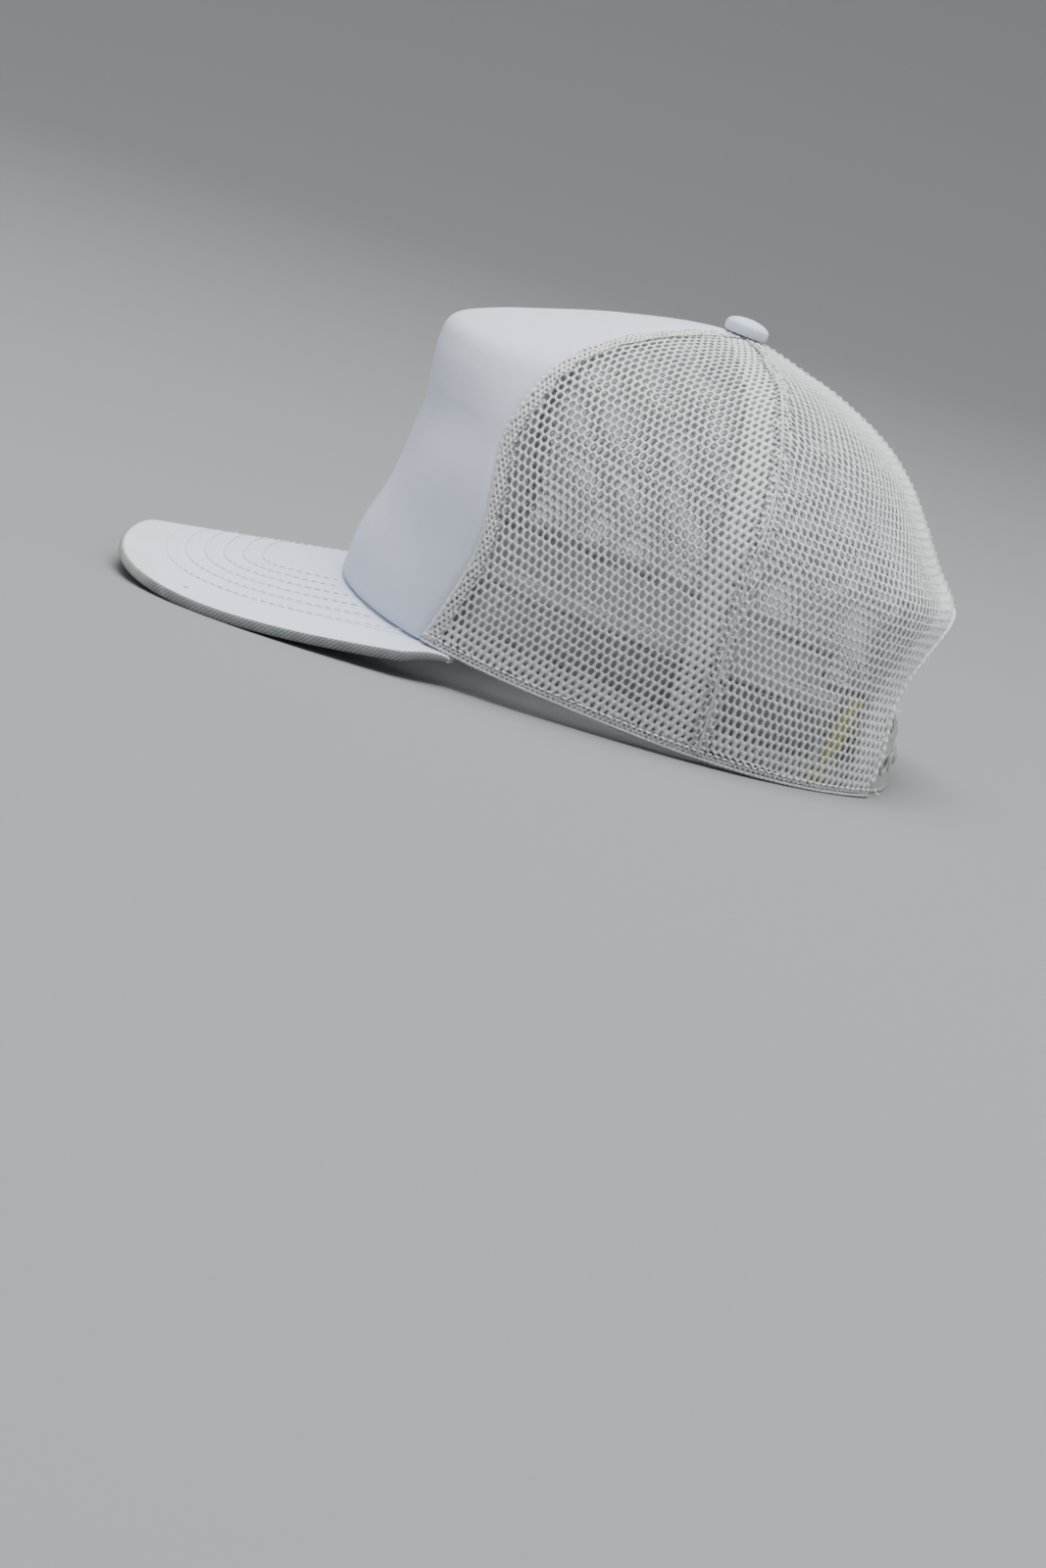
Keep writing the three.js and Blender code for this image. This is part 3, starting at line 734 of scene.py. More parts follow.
# a cell's pitch across, row height, half width and half height of its hole in millimetres, turn in degrees,
# slant and slow waviness of its rows, offset, and how far the painted shade on the deepest yarn is lifted
# at least, as painted light
sideCell = {"pitch": 2.4, "row": 2.85, "hole": (0.77, 1.1), "turned": -8.5, "slant": 0.3, "waver": 0.35,
            "shift": (0, 0)}
backCell = {**sideCell, "hole": (0.74, 1.05), "turned": -2.5}
sideFoldCell = {**sideCell, "hole": (0.73, 1.0), "shift": (1.2, 1.0), "least": 0.35}
backFoldCell = {**backCell, "hole": (0.7, 0.95), "shift": (1.2, 1.0), "least": 0.35}
tightCell = {"pitch": 1.7, "row": 1.6, "hole": (0.25, 0.27), "turned": 0, "slant": 0.1, "waver": 0.5,
             "shift": (0, 0), "least": 0.92}
seamCell = {"pitch": 1.9, "row": 2.2, "hole": (0.5, 0.66), "turned": 6, "slant": 0.3, "waver": 0.7,
            "shift": (0, 0), "least": 0.75}
hemCell = {"pitch": 1.7, "row": 1.1, "hole": (0.42, 0.26), "turned": 0, "slant": 0.1, "waver": 0.2,
           "shift": (0, 0), "least": 0.85}
folds = {"hem": 9, "sideBefore": 12, "sideAfter": 2, "back": 5, "front": 5, "thick": 0.8}

gap = crown["seamGap"] / 2
sidePanel = FlatPanel(lambda t: frontSeam(t, gap), lambda t: sideSeam(t, -gap), cut=False)
backPanel = FlatPanel(lambda t: sideSeam(t, gap), backSeam, cut=True)
gathered = 4.2  # width of the net that is bunched up along the front seam
seamBunch = 2.6  # half the width of the uneven ridge at the side seam
hemStrip = 2.7  # height of the net that is pressed together along the hem
overlap = {"front": 1.1, "hem": 0.6}  # how far the open net runs on under the bunched and the pressed one
proud = {"strip": 0.2, "seam": 0.5}  # how far the denser parts stand out from the open net


def behindSeam(seam, point, t):
    return point[:, 1] - column(seam, t)


def upHem(t):
    return column("up", t)


def archShare(angle, t, point, wide):
    # under 1 within that many millimetres of the arch's edge
    outer = insideArch(point[:, 0] * arch["half"] / (arch["half"] + wide),
                       arch["foot"] + (column("up", t) - arch["foot"]) * (arch["top"] - arch["foot"])
                       / (arch["top"] + wide - arch["foot"]))
    return np.where(np.abs(angle) > arch["angle"], outer, 2)


# how strongly the net looks doubled (its holes tighten, and its yarn is painted lighter as painted light),
# and where that begins and ends: in millimetres, at the arch as a share
doubles = {"seam": 1.2, "seamFrom": (-13.5, -11), "seamTo": (3.5, 2), "hem": 0.9, "hemTo": (10, 8.5),
           "arch": 1.6, "archTo": (1.03, 0.97), "back": 0.7}


def doubledNet(angle, t, point):
    # about 1 where the net lies double: before the side seam, along the hem, the arch and the back seam
    fromSeam = behindSeam("sideSeam", point, t)
    share = doubles["seam"] * smooth(*doubles["seamFrom"], fromSeam) * smooth(*doubles["seamTo"], fromSeam)
    share = np.maximum(share, doubles["hem"] * smooth(*doubles["hemTo"], upHem(t)))
    nearArch = smooth(*doubles["archTo"], archShare(angle, t, point, arch["fold"]))
    share = np.maximum(share, doubles["arch"] * nearArch)
    atBack = (np.abs(point[:, 0]) < folds["back"]) & (point[:, 1] > 0)
    return np.maximum(share, doubles["back"] * atBack)


def besideSideSeam(angle, t, point):
    return (np.abs(behindSeam("sideSeam", point, t)) < seamBunch) & (upHem(t) > hemStrip)


def inHemStrip(angle, t, point):
    return upHem(t) < hemStrip


def aboveHemStrip(angle, t, point):
    return upHem(t) > hemStrip - overlap["hem"]


def sideNetParts():
    def bunch(angle, t, point):
        return behindSeam("frontSeam", point, t) < gathered

    def openNet(angle, t, point):
        behindBunch = behindSeam("frontSeam", point, t) > gathered - overlap["front"]
        return behindBunch & aboveHemStrip(angle, t, point)
    return [netMesh(sidePanel, 0, openNet, sideCell, 3, wrinkle=0.05, doubled=doubledNet),
            netMesh(sidePanel, -proud["strip"], bunch, tightCell, 11, wrinkle=0.3),
            netMesh(sidePanel, -proud["seam"], besideSideSeam, seamCell, 29, wrinkle=0.22),
            netMesh(sidePanel, -proud["strip"], inHemStrip, hemCell, 5)]


def backNetParts():
    return [netMesh(backPanel, 0, aboveHemStrip, backCell, 7, wrinkle=0.08, doubled=doubledNet),
            netMesh(backPanel, -proud["seam"], besideSideSeam, seamCell, 30, wrinkle=0.22),
            netMesh(backPanel, -proud["strip"], inHemStrip, hemCell, 5)]


def foldMesh(panel, keep, cell, seed, depth=crown["foldDepth"], wrinkle=0.0):
    # the second layer of the net, which is folded under the first
    return netMesh(panel, depth, keep, cell, seed, thick=folds["thick"], wrinkle=wrinkle)


def hemFoldParts():
    def low(angle, t, point):
        return upHem(t) < folds["hem"]
    return [foldMesh(sidePanel, low, sideFoldCell, 17), foldMesh(backPanel, low, backFoldCell, 18)]


def sideFoldParts():
    def before(angle, t, point):
        return (behindSeam("sideSeam", point, t) > -folds["sideBefore"]) & (upHem(t) > folds["hem"])

    def after(angle, t, point):
        return (behindSeam("sideSeam", point, t) < folds["sideAfter"]) & (upHem(t) > folds["hem"])
    return [foldMesh(sidePanel, before, sideFoldCell, 13), foldMesh(backPanel, after, backFoldCell, 14)]


def frontFoldParts():
    def after(angle, t, point):
        return (behindSeam("frontSeam", point, t) < folds["front"]) & (upHem(t) > folds["hem"])
    return [foldMesh(sidePanel, after, sideFoldCell, 21, wrinkle=0.2)]


for side, word in ((1, "left"), (-1, "right")):
    netPiece("sideNet_" + word, sideNetParts(), materials["net"], ["side_net_" + word], side)
    netPiece("backNet_" + word, backNetParts(), materials["net"], ["back_net_" + word], side)
    netPiece("frontSeamFold_" + word, frontFoldParts(), materials["fold"],
             ["front_seam_fold_" + word], side)
    netPiece("sideSeamFold_" + word, sideFoldParts(), materials["fold"],
             ["side_seam_fold_" + word], side)
    netPiece("hemFold_" + word, hemFoldParts(), materials["fold"], ["hem_fold_" + word], side)
print("nets made")


def aroundArch(angle, t, point):
    return archShare(angle, t, point, arch["fold"]) < 1


def besideBack(angle, t, point):
    above = upHem(t) > arch["top"] + arch["fold"]
    return (np.abs(point[:, 0]) < folds["back"]) & above & (point[:, 1] > 0)


leftArch = foldMesh(backPanel, aroundArch, backFoldCell, 19, depth=crown["archFoldDepth"])
leftBack = foldMesh(backPanel, besideBack, backFoldCell, 23)
for name, part, node in (("archFold", leftArch, "arch_fold"), ("backSeamFold", leftBack, "back_seam_fold")):
    flipped = (*mirrored(part[0], part[1]), part[2])
    netPiece(name, [part, flipped], materials["fold"], [node], 1)
print("folds made")


# Paths along the crown, tubes and stitches on them

def pathFrames(points, normals):
    # the direction along a path and the direction across it, square to the normal
    ahead = unit(np.gradient(points, axis=0))
    return ahead, unit(np.cross(normals, ahead))


def crownPath(angle, t, inset=0.0):
    points = crownPoint(angle, t, inset)
    normals = unit(crownPoint(angle, t, inset - 0.5) - points)
    return points, normals


def ridgeMesh(points, normals, wide, high, pleat=0.0, pleatLength=2.2, around=10):
    # an oval tube laid along the path, its height waving in step with the length along it
    ahead, across = pathFrames(points, normals)
    run = lengthAlong(points)
    turn = np.linspace(0, 2 * np.pi, around, endpoint=False)
    swell = 1 + pleat * np.sin(2 * np.pi * run / pleatLength)[:, None]
    rings = (points[:, None] + across[:, None] * (wide / 2 * swell * np.cos(turn))[..., None]
             + normals[:, None] * (high * swell * np.sin(turn))[..., None])
    vertices, faces = tubeMesh(rings)
    return vertices, outwards(vertices, faces)


def stitchMesh(points, normals, pitch, length, radius, slant=0.0, lift=0.0, stray=0.0):
    # a short rounded stitch every pitch along the path: its ends dip into the cloth. slant turns it, lift
    # raises it, and stray moves each one sideways by chance.
    ahead, across = pathFrames(points, normals)
    run = lengthAlong(points)
    at = np.arange(pitch / 2, run[-1], pitch)

    def along(values):
        return np.stack([np.interp(at, run, values[:, k]) for k in range(3)], -1)

    middle, ahead, across, up = along(points), along(ahead), along(across), along(normals)
    random = np.random.default_rng(61)
    middle = middle + across * random.normal(0, stray, (len(at), 1))
    direction = unit(ahead + (slant + random.normal(0, stray, (len(at), 1))) * across)
    sideways = unit(np.cross(up, direction))
    share = np.linspace(-1, 1, 5)
    turn = np.linspace(0, 2 * np.pi, 6, endpoint=False)
    thick = radius * np.sqrt(1 - 0.75 * share ** 2)
    rise = lift + radius * (1 - 2.2 * share ** 4)
    centre = (middle[:, None] + direction[:, None] * (length / 2 * share)[None, :, None]
              + up[:, None] * rise[None, :, None])
    rings = (centre[:, :, None] + sideways[:, None, None] * (thick[:, None] * np.cos(turn))[None, :, :, None]
             + up[:, None, None] * (thick[:, None] * np.sin(turn))[None, :, :, None])
    oneVertices, oneFaces = tubeMesh(rings[0])
    count = len(at)
    faces = oneFaces[None] + (np.arange(count) * len(oneVertices))[:, None, None]
    vertices = rings.reshape(-1, 3)
    faces = faces.reshape(-1, 4)
    return vertices, outwards(vertices, faces)


# Front panel: knit cloth on foam, rounded at its edges, with the shallow dents of a worn cap
panel = {
    "roundEdge": 3.2, "roundDepth": 1.5, "uneven": 0.12,
    # side to side, height, radius and depth in millimetres
    "dents": [(-30, 28, 26, 1.0), (26, 44, 22, 2.3), (50, 60, 16, 1.1), (5, 72, 30, -0.6), (60, 20, 15, 1.2),
              (38, 86, 13, 0.9), (-20, 96, 20, 0.6), (40, 14, 12, -0.6), (-50, 62, 18, 0.8)],
}


def makeFrontPanel():
    # a grid from seam to seam; depth = round edge + Gaussian dents + faint unevenness of the foam
    across = np.linspace(-1, 1, 131)[None, :]
    t = np.linspace(0, 1, 151)[:, None] * topLevel
    edge = angleAtY(column("frontSeam", t) - gap, t)
    angle = edge * across
    t = t + 0 * across
    place = shell(angle, t)
    width = np.linalg.norm(shell(edge, t[:, :1]) - shell(edge * 0.98, t[:, :1]), axis=-1) / 0.02
    toSeam = (1 - np.abs(across)) * width
    toHem = place[..., 2] - hemHeight(place[..., 0])
    nearest = np.minimum(toSeam, toHem + 1.5)
    depth = panel["roundDepth"] * np.clip(1 - nearest / panel["roundEdge"], 0, 1) ** 2
    for x, up, radius, deep in panel["dents"]:
        depth = depth + deep * np.exp(-((place[..., 0] - x) ** 2 + (place[..., 2] - up) ** 2) / radius ** 2)
    depth = depth + panel["uneven"] * ripple(place[..., 0] / 9, place[..., 2] / 9, 31)
    vertices, faces = sheetMesh(crownPoint(angle, t, depth), crownPoint(angle, t, crown["foam"]))
    made = meshPiece("frontPanel", vertices, outwards(vertices, faces), materials["panel"])
    innerFaces(made, angle.shape, materials["foam"])
    finishPiece(made, ["front_panel"])


makeFrontPanel()
print("front panel made")


# Seams: the joined edges stand up a little, sewn over with bright thread
# ridge and join give the width and height of the joined edges at the net's seams and at the front seam
seams = {"ridge": (1.2, 0.3), "join": (2.0, 1.0), "pleat": 0.2, "stitch": 2.6, "stitchLong": 1.9,
         "thread": 0.24}


def makeSeams():
    t = np.linspace(0.1, topLevel - 0.3, 260)
    meshes = []
    for line in (frontSeam, sideSeam, backSeam):
        if line is backSeam:
            t = np.linspace(levelAt(arch["top"] + 0.5), topLevel - 0.3, 180)
        angle = np.full_like(t, np.pi) if line is backSeam else line(t)
        points, normals = crownPath(angle, t, 1.3 if line is frontSeam else 0.2)
        points = points + normals * (0.12 * ripple(t * 5, t * 9, 63))[:, None]
        wide, high = seams["join"] if line is frontSeam else seams["ridge"]
        meshes.append(ridgeMesh(points, normals, wide, high, seams["pleat"], seams["stitch"]))
        if line is backSeam:
            threads = stitchMesh(points, normals, seams["stitch"], seams["stitchLong"], seams["thread"],
                                 slant=0.3, lift=seams["ridge"][1] - 0.05, stray=0.1)
        else:
            meshes.append(mirrored(*meshes[-1]))
    vertices, faces = joined(meshes)
    height = 0.45 + 0.3 * ripple(vertices[:, 1] * 3, vertices[:, 2] * 3, 69)
    finishPiece(meshPiece("seamRidges", vertices, faces, materials["fold"], attributes={"height": height}))
    finishPiece(meshPiece("seamThreads", *threads, materials["brightThread"]))


makeSeams()
print("seams made")


# Hem: the pressed edge ends in a thin rolled cord, with a line of stitches above it
hem = {"cord": 0.38, "cordUp": 0.5, "pleat": 0.25, "pleatLong": 1.7, "bright": 0.95, "stitchUp": 2.5,
       "stitch": 2.5, "stitchLong": 1.7, "thread": 0.3}


def makeHem():
    corner = angleAtX(np.array(arch["half"] + 0.4), np.array(0.0))
    angle = np.linspace(frontSeam(np.array(0.0), gap), corner, 420)
    points, normals = crownPath(angle, levelAt(np.full_like(angle, hem["cordUp"])), 0.3)
    cord = ridgeMesh(points, normals, 2 * hem["cord"], hem["cord"], hem["pleat"], hem["pleatLong"],
                     around=8)
    vertices, faces = joined([cord, mirrored(*cord)])
    finishPiece(meshPiece("hemCord", vertices, faces, materials["fold"],
                          attributes={"height": np.full(len(vertices), hem["bright"])}))
    points, normals = crownPath(angle, levelAt(np.full_like(angle, hem["stitchUp"])), -0.15)
    row = stitchMesh(points, normals, hem["stitch"], hem["stitchLong"], hem["thread"])
    vertices, faces = joined([row, mirrored(*row)])
    finishPiece(meshPiece("hemThreads", vertices, faces, materials["brightThread"]))


makeHem()
print("hem made")


# Arch: the folded edge is a soft, slightly scalloped roll
archRoll = {"wide": 1.8, "high": 0.8, "scallop": 0.2, "scallopLong": 2.6, "inset": 0.5}


def makeArchRoll():
    x, up = archEdge(np.linspace(0.06, 1, 420), archRoll["wide"] / 2 - 0.5)
    t = levelAt(up)
    points, normals = crownPath(angleAtX(x, t), t, archRoll["inset"])
    roll = ridgeMesh(points, normals, archRoll["wide"], archRoll["high"], archRoll["scallop"],
                     archRoll["scallopLong"])
    vertices, faces = joined([roll, mirrored(*roll)])
    height = 0.55 + 0.3 * ripple(vertices[:, 0] * 2, vertices[:, 2] * 2, 67)
    finishPiece(meshPiece("archRoll", vertices, faces, materials["fold"], attributes={"height": height}))


makeArchRoll()
print("arch made")


# Sweatband: soft cloth inside the hem, with a lighter border on its upper edge and an aged tape at its end
# on the wearer's left
band = {"height": 27, "bottom": 0.6, "thick": 1.4, "inset": 3.7, "end": np.radians(136), "border": 4.5,
        "radius": 82, "endLean": 0.17, "stitch": 3.0, "stitchLong": 1.9, "thread": 0.35, "threadDown": 0.8,
        "tape": 5.0, "tapeBeyond": 4.4, "tapeDepth": 1.9, "tapeThick": 0.6}


def makeSweatband():
    # depth = inset + gentle waves; the border stands proud of the band by 0.3 mm
    angle = np.linspace(-band["end"], band["end"], 361)[None, :]

    def leaning(angle, up):
        # the band's ends lean: its lower edge stops shorter than its upper edge
        return angle * (1 + band["endLean"] * (up - band["height"]) / band["radius"] / band["end"])

    def strip(low, high, rows, proud, extra=0.0):
        up = np.linspace(low, high, rows)[:, None]
        t = levelAt(up) + 0 * angle
        wave = 0.22 * ripple(angle * 24, up / 6, 41)
        outer = crownPoint(leaning(angle, up), t, band["inset"] - proud + wave)
        inner = crownPoint(leaning(angle, up), t, band["inset"] + band["thick"] + extra + wave)
        vertices, faces = sheetMesh(outer, inner)
        return vertices, outwards(vertices, faces)

    rows = 14
    vertices, faces = strip(band["bottom"], band["height"] - band["border"], rows, 0)
    made = meshPiece("sweatbandStrip", vertices, faces, materials["band"])
    innerFaces(made, (rows, angle.size), materials["bandInside"])
    finishPiece(made, ["sweatband"])
    vertices, faces = strip(band["height"] - band["border"] + 0.2, band["height"], 5, 0.3, 0.3)
    finishPiece(meshPiece("sweatbandBorder", vertices, faces, materials["bandBorder"]))
    along = np.linspace(-band["end"], band["end"], 900)
    up = np.full_like(along, band["height"] - band["border"] - band["threadDown"])
    points, normals = crownPath(along, levelAt(up), band["inset"])
    row = stitchMesh(points, normals, band["stitch"], band["stitchLong"], band["thread"])
    finishPiece(meshPiece("sweatbandThreads", *row, materials["thread"]))
    wide = (np.linspace(-0.5, 0.5, 5)[None, :] * band["tape"] + band["tapeBeyond"]) / band["radius"]
    up = np.linspace(band["bottom"], band["height"] + 0.4, 30)[:, None]
    t = levelAt(up) + 0 * wide
    crimp = 0.1 * np.sin(up * 2.2)
    outer = crownPoint(leaning(band["end"], up) + wide, t, band["tapeDepth"] + crimp)
    inner = crownPoint(leaning(band["end"], up) + wide, t, band["tapeDepth"] + band["tapeThick"] + crimp)
    vertices, faces = sheetMesh(outer, inner)
    finishPiece(meshPiece("sweatbandTape", vertices, outwards(vertices, faces), materials["agedTape"]))


makeSweatband()
print("sweatband made")


# Visor: two cloths over a board, six rows of stitches that follow the edge, and a ribbed edge
visor = {
    "reach": 68.7, "half": 82, "cornersBack": 46, "square": 3, "slope": np.tan(np.radians(13.2)),
    "bend": 0.0024, "cornerLong": 14, "cornerIn": 6.5, "cornerThin": 0.55, "joint": np.radians(55.5),
    "topCloth": 2, "underCloth": 0.9, "seat": 3.2, "layerGap": 0.3,
    "firstRow": 13.3, "rowPitch": 6.0, "rows": 6, "groove": 0.22, "grooveHalf": 0.75,
    "stitch": 3.1, "stitchGap": 0.7, "thread": 0.19, "threadSinks": 0.14,
    "ribPitch": 1.5, "ribHigh": 0.16, "ribSlant": 0.95, "edgeProud": 0.5,
    "uneven": 0.05, "roundDeep": 0.35, "roundWide": 1.2,
}


def visorHeight(x, y):
    # a plane that slopes down ahead, bent down to both sides by the square of the distance
    return (y + hemFront) * visor["slope"] - visor["bend"] * x ** 2


def visorEdgePoint(across):
    # the outline in plan: a superellipse whose rear corners draw in
    turn = across * np.pi / 2
    length = visor["reach"] + visor["cornersBack"]
    radius = ((np.cos(turn) / length) ** visor["square"]
              + np.abs(np.sin(turn) / visor["half"]) ** visor["square"]) ** (-1 / visor["square"])
    ahead = radius * np.cos(turn)
    corner = np.clip(1 - ahead / visor["cornerLong"], 0, 1) ** 1.5
    x = radius * np.sin(turn) - np.sign(across) * visor["cornerIn"] * corner
    y = visor["cornersBack"] - hemFront - ahead
    return np.stack([x, y, visorHeight(x, y) * (1 - corner) + hemHeight(x) * corner], -1), corner


def visorPoint(across, out, below):
    # a straight line from the crown's seam to the edge; below is the depth under the upper face
    edge, corner = visorEdgePoint(across)
    seat = crownPoint(across * visor["joint"], 0.0 * across, visor["seat"])
    depth = visor["layerGap"] + below * (1 - (1 - visor["cornerThin"]) * corner)
    point = seat * (1 - out[..., None]) + edge * out[..., None]
    return point - np.stack([0 * depth, 0 * depth, depth], -1)


outline = visorEdgePoint(np.linspace(-0.999, 0.999, 700))[0][:, :2]


def fromEdge(points):
    # distance in plan to the visor's edge
    flat = points[..., :2].reshape(-1, 2)
    away = np.concatenate([
        np.sqrt(((part[:, None] - outline[None]) ** 2).sum(-1)).min(1)
        for part in np.array_split(flat, max(1, len(flat) // 4000))])
    return away.reshape(points.shape[:-1])


def rowGrooves(away):
    # the sum of a narrow Gaussian dip at each row of stitches
    rows = visor["firstRow"] + visor["rowPitch"] * np.arange(visor["rows"])
    dips = np.exp(-((away[..., None] - rows) / visor["grooveHalf"]) ** 2).sum(-1)
    return visor["groove"] * dips


def makeVisorCloth(name, top, thick, material, node, faceUp):
    across, out = np.broadcast_arrays(np.linspace(-1, 1, 161)[None, :], np.linspace(0, 1, 126)[:, None])
    upper = visorPoint(across, out, np.full(across.shape, float(top)))
    lower = visorPoint(across, out, np.full(across.shape, float(top + thick)))
    away = fromEdge(upper)
    dips = rowGrooves(away)
    swell = visor["uneven"] * ripple(upper[..., 0] / 10, upper[..., 1] / 10, 53)
    rounding = visor["roundDeep"] * np.clip(1 - away / visor["roundWide"], 0, 1) ** 2
    if faceUp:
        upper[..., 2] -= dips + swell + rounding
    else:
        lower[..., 2] += dips + swell + rounding
    vertices, faces = sheetMesh(upper, lower)
    made = meshPiece(name, vertices, outwards(vertices, faces), material)
    finishPiece(made, [node])


def stitchRows(faceUp):
    # each row is the outline moved inwards, kept where it is ahead of the crown's seam
    meshes = []
    ahead = unit(np.gradient(outline, axis=0))
    inwards = np.stack([ahead[:, 1], -ahead[:, 0]], -1)
    tip = len(outline) // 2
    inside = np.array([0, -60.0])  # a point well inside the outline
    if (inwards[tip] @ (inside - outline[tip])) < 0:
        inwards = -inwards
    seat = crownPoint(np.linspace(-1, 1, 400) * visor["joint"], np.zeros(400), 0.0)
    for k in range(visor["rows"]):
        inset = visor["firstRow"] + visor["rowPitch"] * k
        line = outline + inwards * inset
        clear = fromEdge(line) > inset - 0.15
        seam = np.interp(line[:, 0], seat[:, 0], seat[:, 1], left=0, right=0)
        clear &= line[:, 1] < seam - 1.0
        line = line[clear]
        if len(line) < 8:
            continue
        x, y = line[:, 0], line[:, 1]
        z = visorHeight(x, y) - visor["layerGap"]
        down = 0.0 if faceUp else visor["topCloth"] + visor["layerGap"] + visor["underCloth"]
        points = np.stack([x, y, z - down], -1)
        steep = np.full_like(x, -visor["slope"])
        normals = unit(np.stack([2 * visor["bend"] * x, steep, np.ones_like(x)], -1))
        if not faceUp:
            normals = -normals
        points = points - normals * visor["groove"]
        meshes.append(stitchMesh(points, normals, visor["stitch"], visor["stitch"] - visor["stitchGap"],
                                 visor["thread"], lift=-visor["threadSinks"]))
    return joined(meshes)


def makeVisorRim():
    # a half-round band over both cloths' edges, with slanting ribs along it
    across = np.linspace(-0.998, 0.998, 1700)
    edge, corner = visorEdgePoint(across)
    ahead = unit(np.gradient(edge, axis=0))
    outward = unit(np.cross(ahead, [0.0, 0.0, 1.0]))
    if outward[len(across) // 2, 1] > 0:
        outward = -outward
    run = lengthAlong(edge)
    layers = visor["topCloth"] + visor["layerGap"] + visor["underCloth"]
    thick = layers * (1 - (1 - visor["cornerThin"]) * corner)
    turn = np.linspace(-0.5, 0.5, 11) * np.pi
    slant = visor["ribSlant"] * np.sin(turn)[None, :]
    rib = 0.5 + 0.5 * np.cos(2 * np.pi * (run[:, None] / visor["ribPitch"] - slant))
    level = np.cos(turn)[None, :]
    proud = visor["edgeProud"] * level ** 0.7 + visor["ribHigh"] * rib * level
    rise = (thick / 2)[:, None] * np.sin(turn)[None, :] * 1.02
    upward = np.array([0, 0, 1.0])
    centre = edge - np.stack([0 * thick, 0 * thick, visor["layerGap"] + thick / 2], -1)
    skin = centre[:, None] + outward[:, None] * (proud - 0.1)[..., None] + upward * rise[..., None]
    backRise = 0.8 * rise[:, [10, 5, 0]]
    back = centre[:, None] - outward[:, None] * 0.7 + upward * backRise[..., None]
    rings = np.concatenate([skin, back], axis=1)
    vertices, faces = tubeMesh(rings)
    # painted shade in the hollows between the ribs, and over the band's hidden back
    height = np.concatenate([0.15 + 0.85 * rib, np.zeros((len(run), 3))], axis=1)
    made = meshPiece("visorEdge", vertices, outwards(vertices, faces), materials["rim"],
                     attributes={"height": height})
    finishPiece(made)


makeVisorCloth("visorTop", 0, visor["topCloth"], materials["visor"], "visor_top", True)
makeVisorCloth("visorUnder", visor["topCloth"] + visor["layerGap"], visor["underCloth"],
               materials["visorUnder"], "visor_under", False)
finishPiece(meshPiece("visorStitches", *stitchRows(True), materials["thread"]))
finishPiece(meshPiece("visorUnderStitches", *stitchRows(False), materials["thread"]))
makeVisorRim()
print("visor made")


# Button: cloth gathered over a domed disc
button = {"radius": 7.15, "side": 2.6, "dome": 2.8, "lift": 0.3, "pleats": 46, "pleatDeep": 0.12}


def makeButton():
    # a profile turned about the crown's top; its side is pleated, which fades towards the dome's top
    seat = sections[-1][0] + button["lift"]
    side = seat + button["side"]
    profile = np.array([  # radius and height: the rivet's foot and stem, then the button's underside and side
        [0.01, seat - 4.3], [6, seat - 4.3], [6, seat - 3.4], [2.2, seat - 3.3], [2.2, seat], [6.2, seat],
        [6.9, seat + 0.3], [7.15, seat + 0.9], [7.2, seat + 1.8], [button["radius"], side]])
    turn = np.linspace(0.06, 1, 14) * np.pi / 2
    dome = np.stack([button["radius"] * np.cos(turn), side + button["dome"] * np.sin(turn)], -1)
    dome[-1, 0] = 0.01
    profile = np.concatenate([profile, dome])
    around = np.linspace(0, 2 * np.pi, 276, endpoint=False)
    pleat = 0.5 + 0.5 * np.cos(button["pleats"] * around)
    onSide = smooth(5.5, 7.0, profile[:, 0]) * (profile[:, 1] > seat)
    radius = profile[:, :1] - button["pleatDeep"] * onSide[:, None] * pleat[None, :]
    x = radius * np.cos(around)
    y = sections[-1][4] + radius * np.sin(around)
    z = np.broadcast_to(profile[:, 1:], x.shape)
    vertices, faces = tubeMesh(np.stack([x, y, z], -1))
    made = meshPiece("buttonCover", vertices, outwards(vertices, faces), materials["panel"])
    finishPiece(made, ["button"])


makeButton()
print("button made")


# Snap strap: the CAD's bands keep their shape, and get rounded edges, snap collars and domed studs
strap = {
    "high": 19, "thick": 1.2, "middle": 89.3, "bow": 6.5, "bowPower": 3.4, "lean": 3.6, "underNet": 5,
    "sewnEnd": 58, "pitch": 9.5, "firstHole": -17, "holes": 6, "studs": 6, "freeStuds": 2, "holeRadius": 2.5,
    "studHigh": 2.3, "tipBeyond": 7, "dips": (-42, -30), "layerGap": 0.3,
    "floorBack": -2.5, "floorAt": 85, "bead": 0.85, "beadAt": (0.045, 0.955), "collar": 0.5, "blend": 1.2,
}


def strapLine(x):
    # the lesser of the bow across the opening and the line under the net, blended softly
    bow = strap["middle"] - strap["bow"] * np.abs(x / arch["half"]) ** strap["bowPower"]
    t = levelAt(strap["high"] / 2) + 0 * x
    reach = column("back", t) - column("widest", t)
    square = column("backSquare", t)
    share = np.minimum(np.abs(x) / column("half", t), 1)
    across = (1 - share ** square) ** (1 / square)
    steep = (share / across) ** (square - 1) * reach / column("half", t)
    under = column("widest", t) + reach * across - strap["underNet"] * np.hypot(1, steep)
    soft = strap["blend"]
    return -soft * np.log(np.exp(-bow / soft) + np.exp(-under / soft))


def strapPoint(x, height, depth):
    slope = (strapLine(x + 0.05) - strapLine(x - 0.05)) / 0.1
    along = unit(np.stack([np.ones_like(slope), slope], -1))
    y = strapLine(x) - depth * along[..., 0]
    fade = np.clip(1 - np.abs(x / arch["half"]) ** strap["bowPower"], 0, 1)
    y = y + strap["lean"] * fade * (0.5 - height)
    floor = strap["floorBack"] + stand["slope"] * (y - strap["floorAt"])
    return np.stack([x + depth * along[..., 1], y, floor + height * strap["high"]], -1)


def underDepth(x):
    return (strap["thick"] + strap["layerGap"]) * smooth(*strap["dips"], x)


def zeroDepth(x):
    return 0 * x


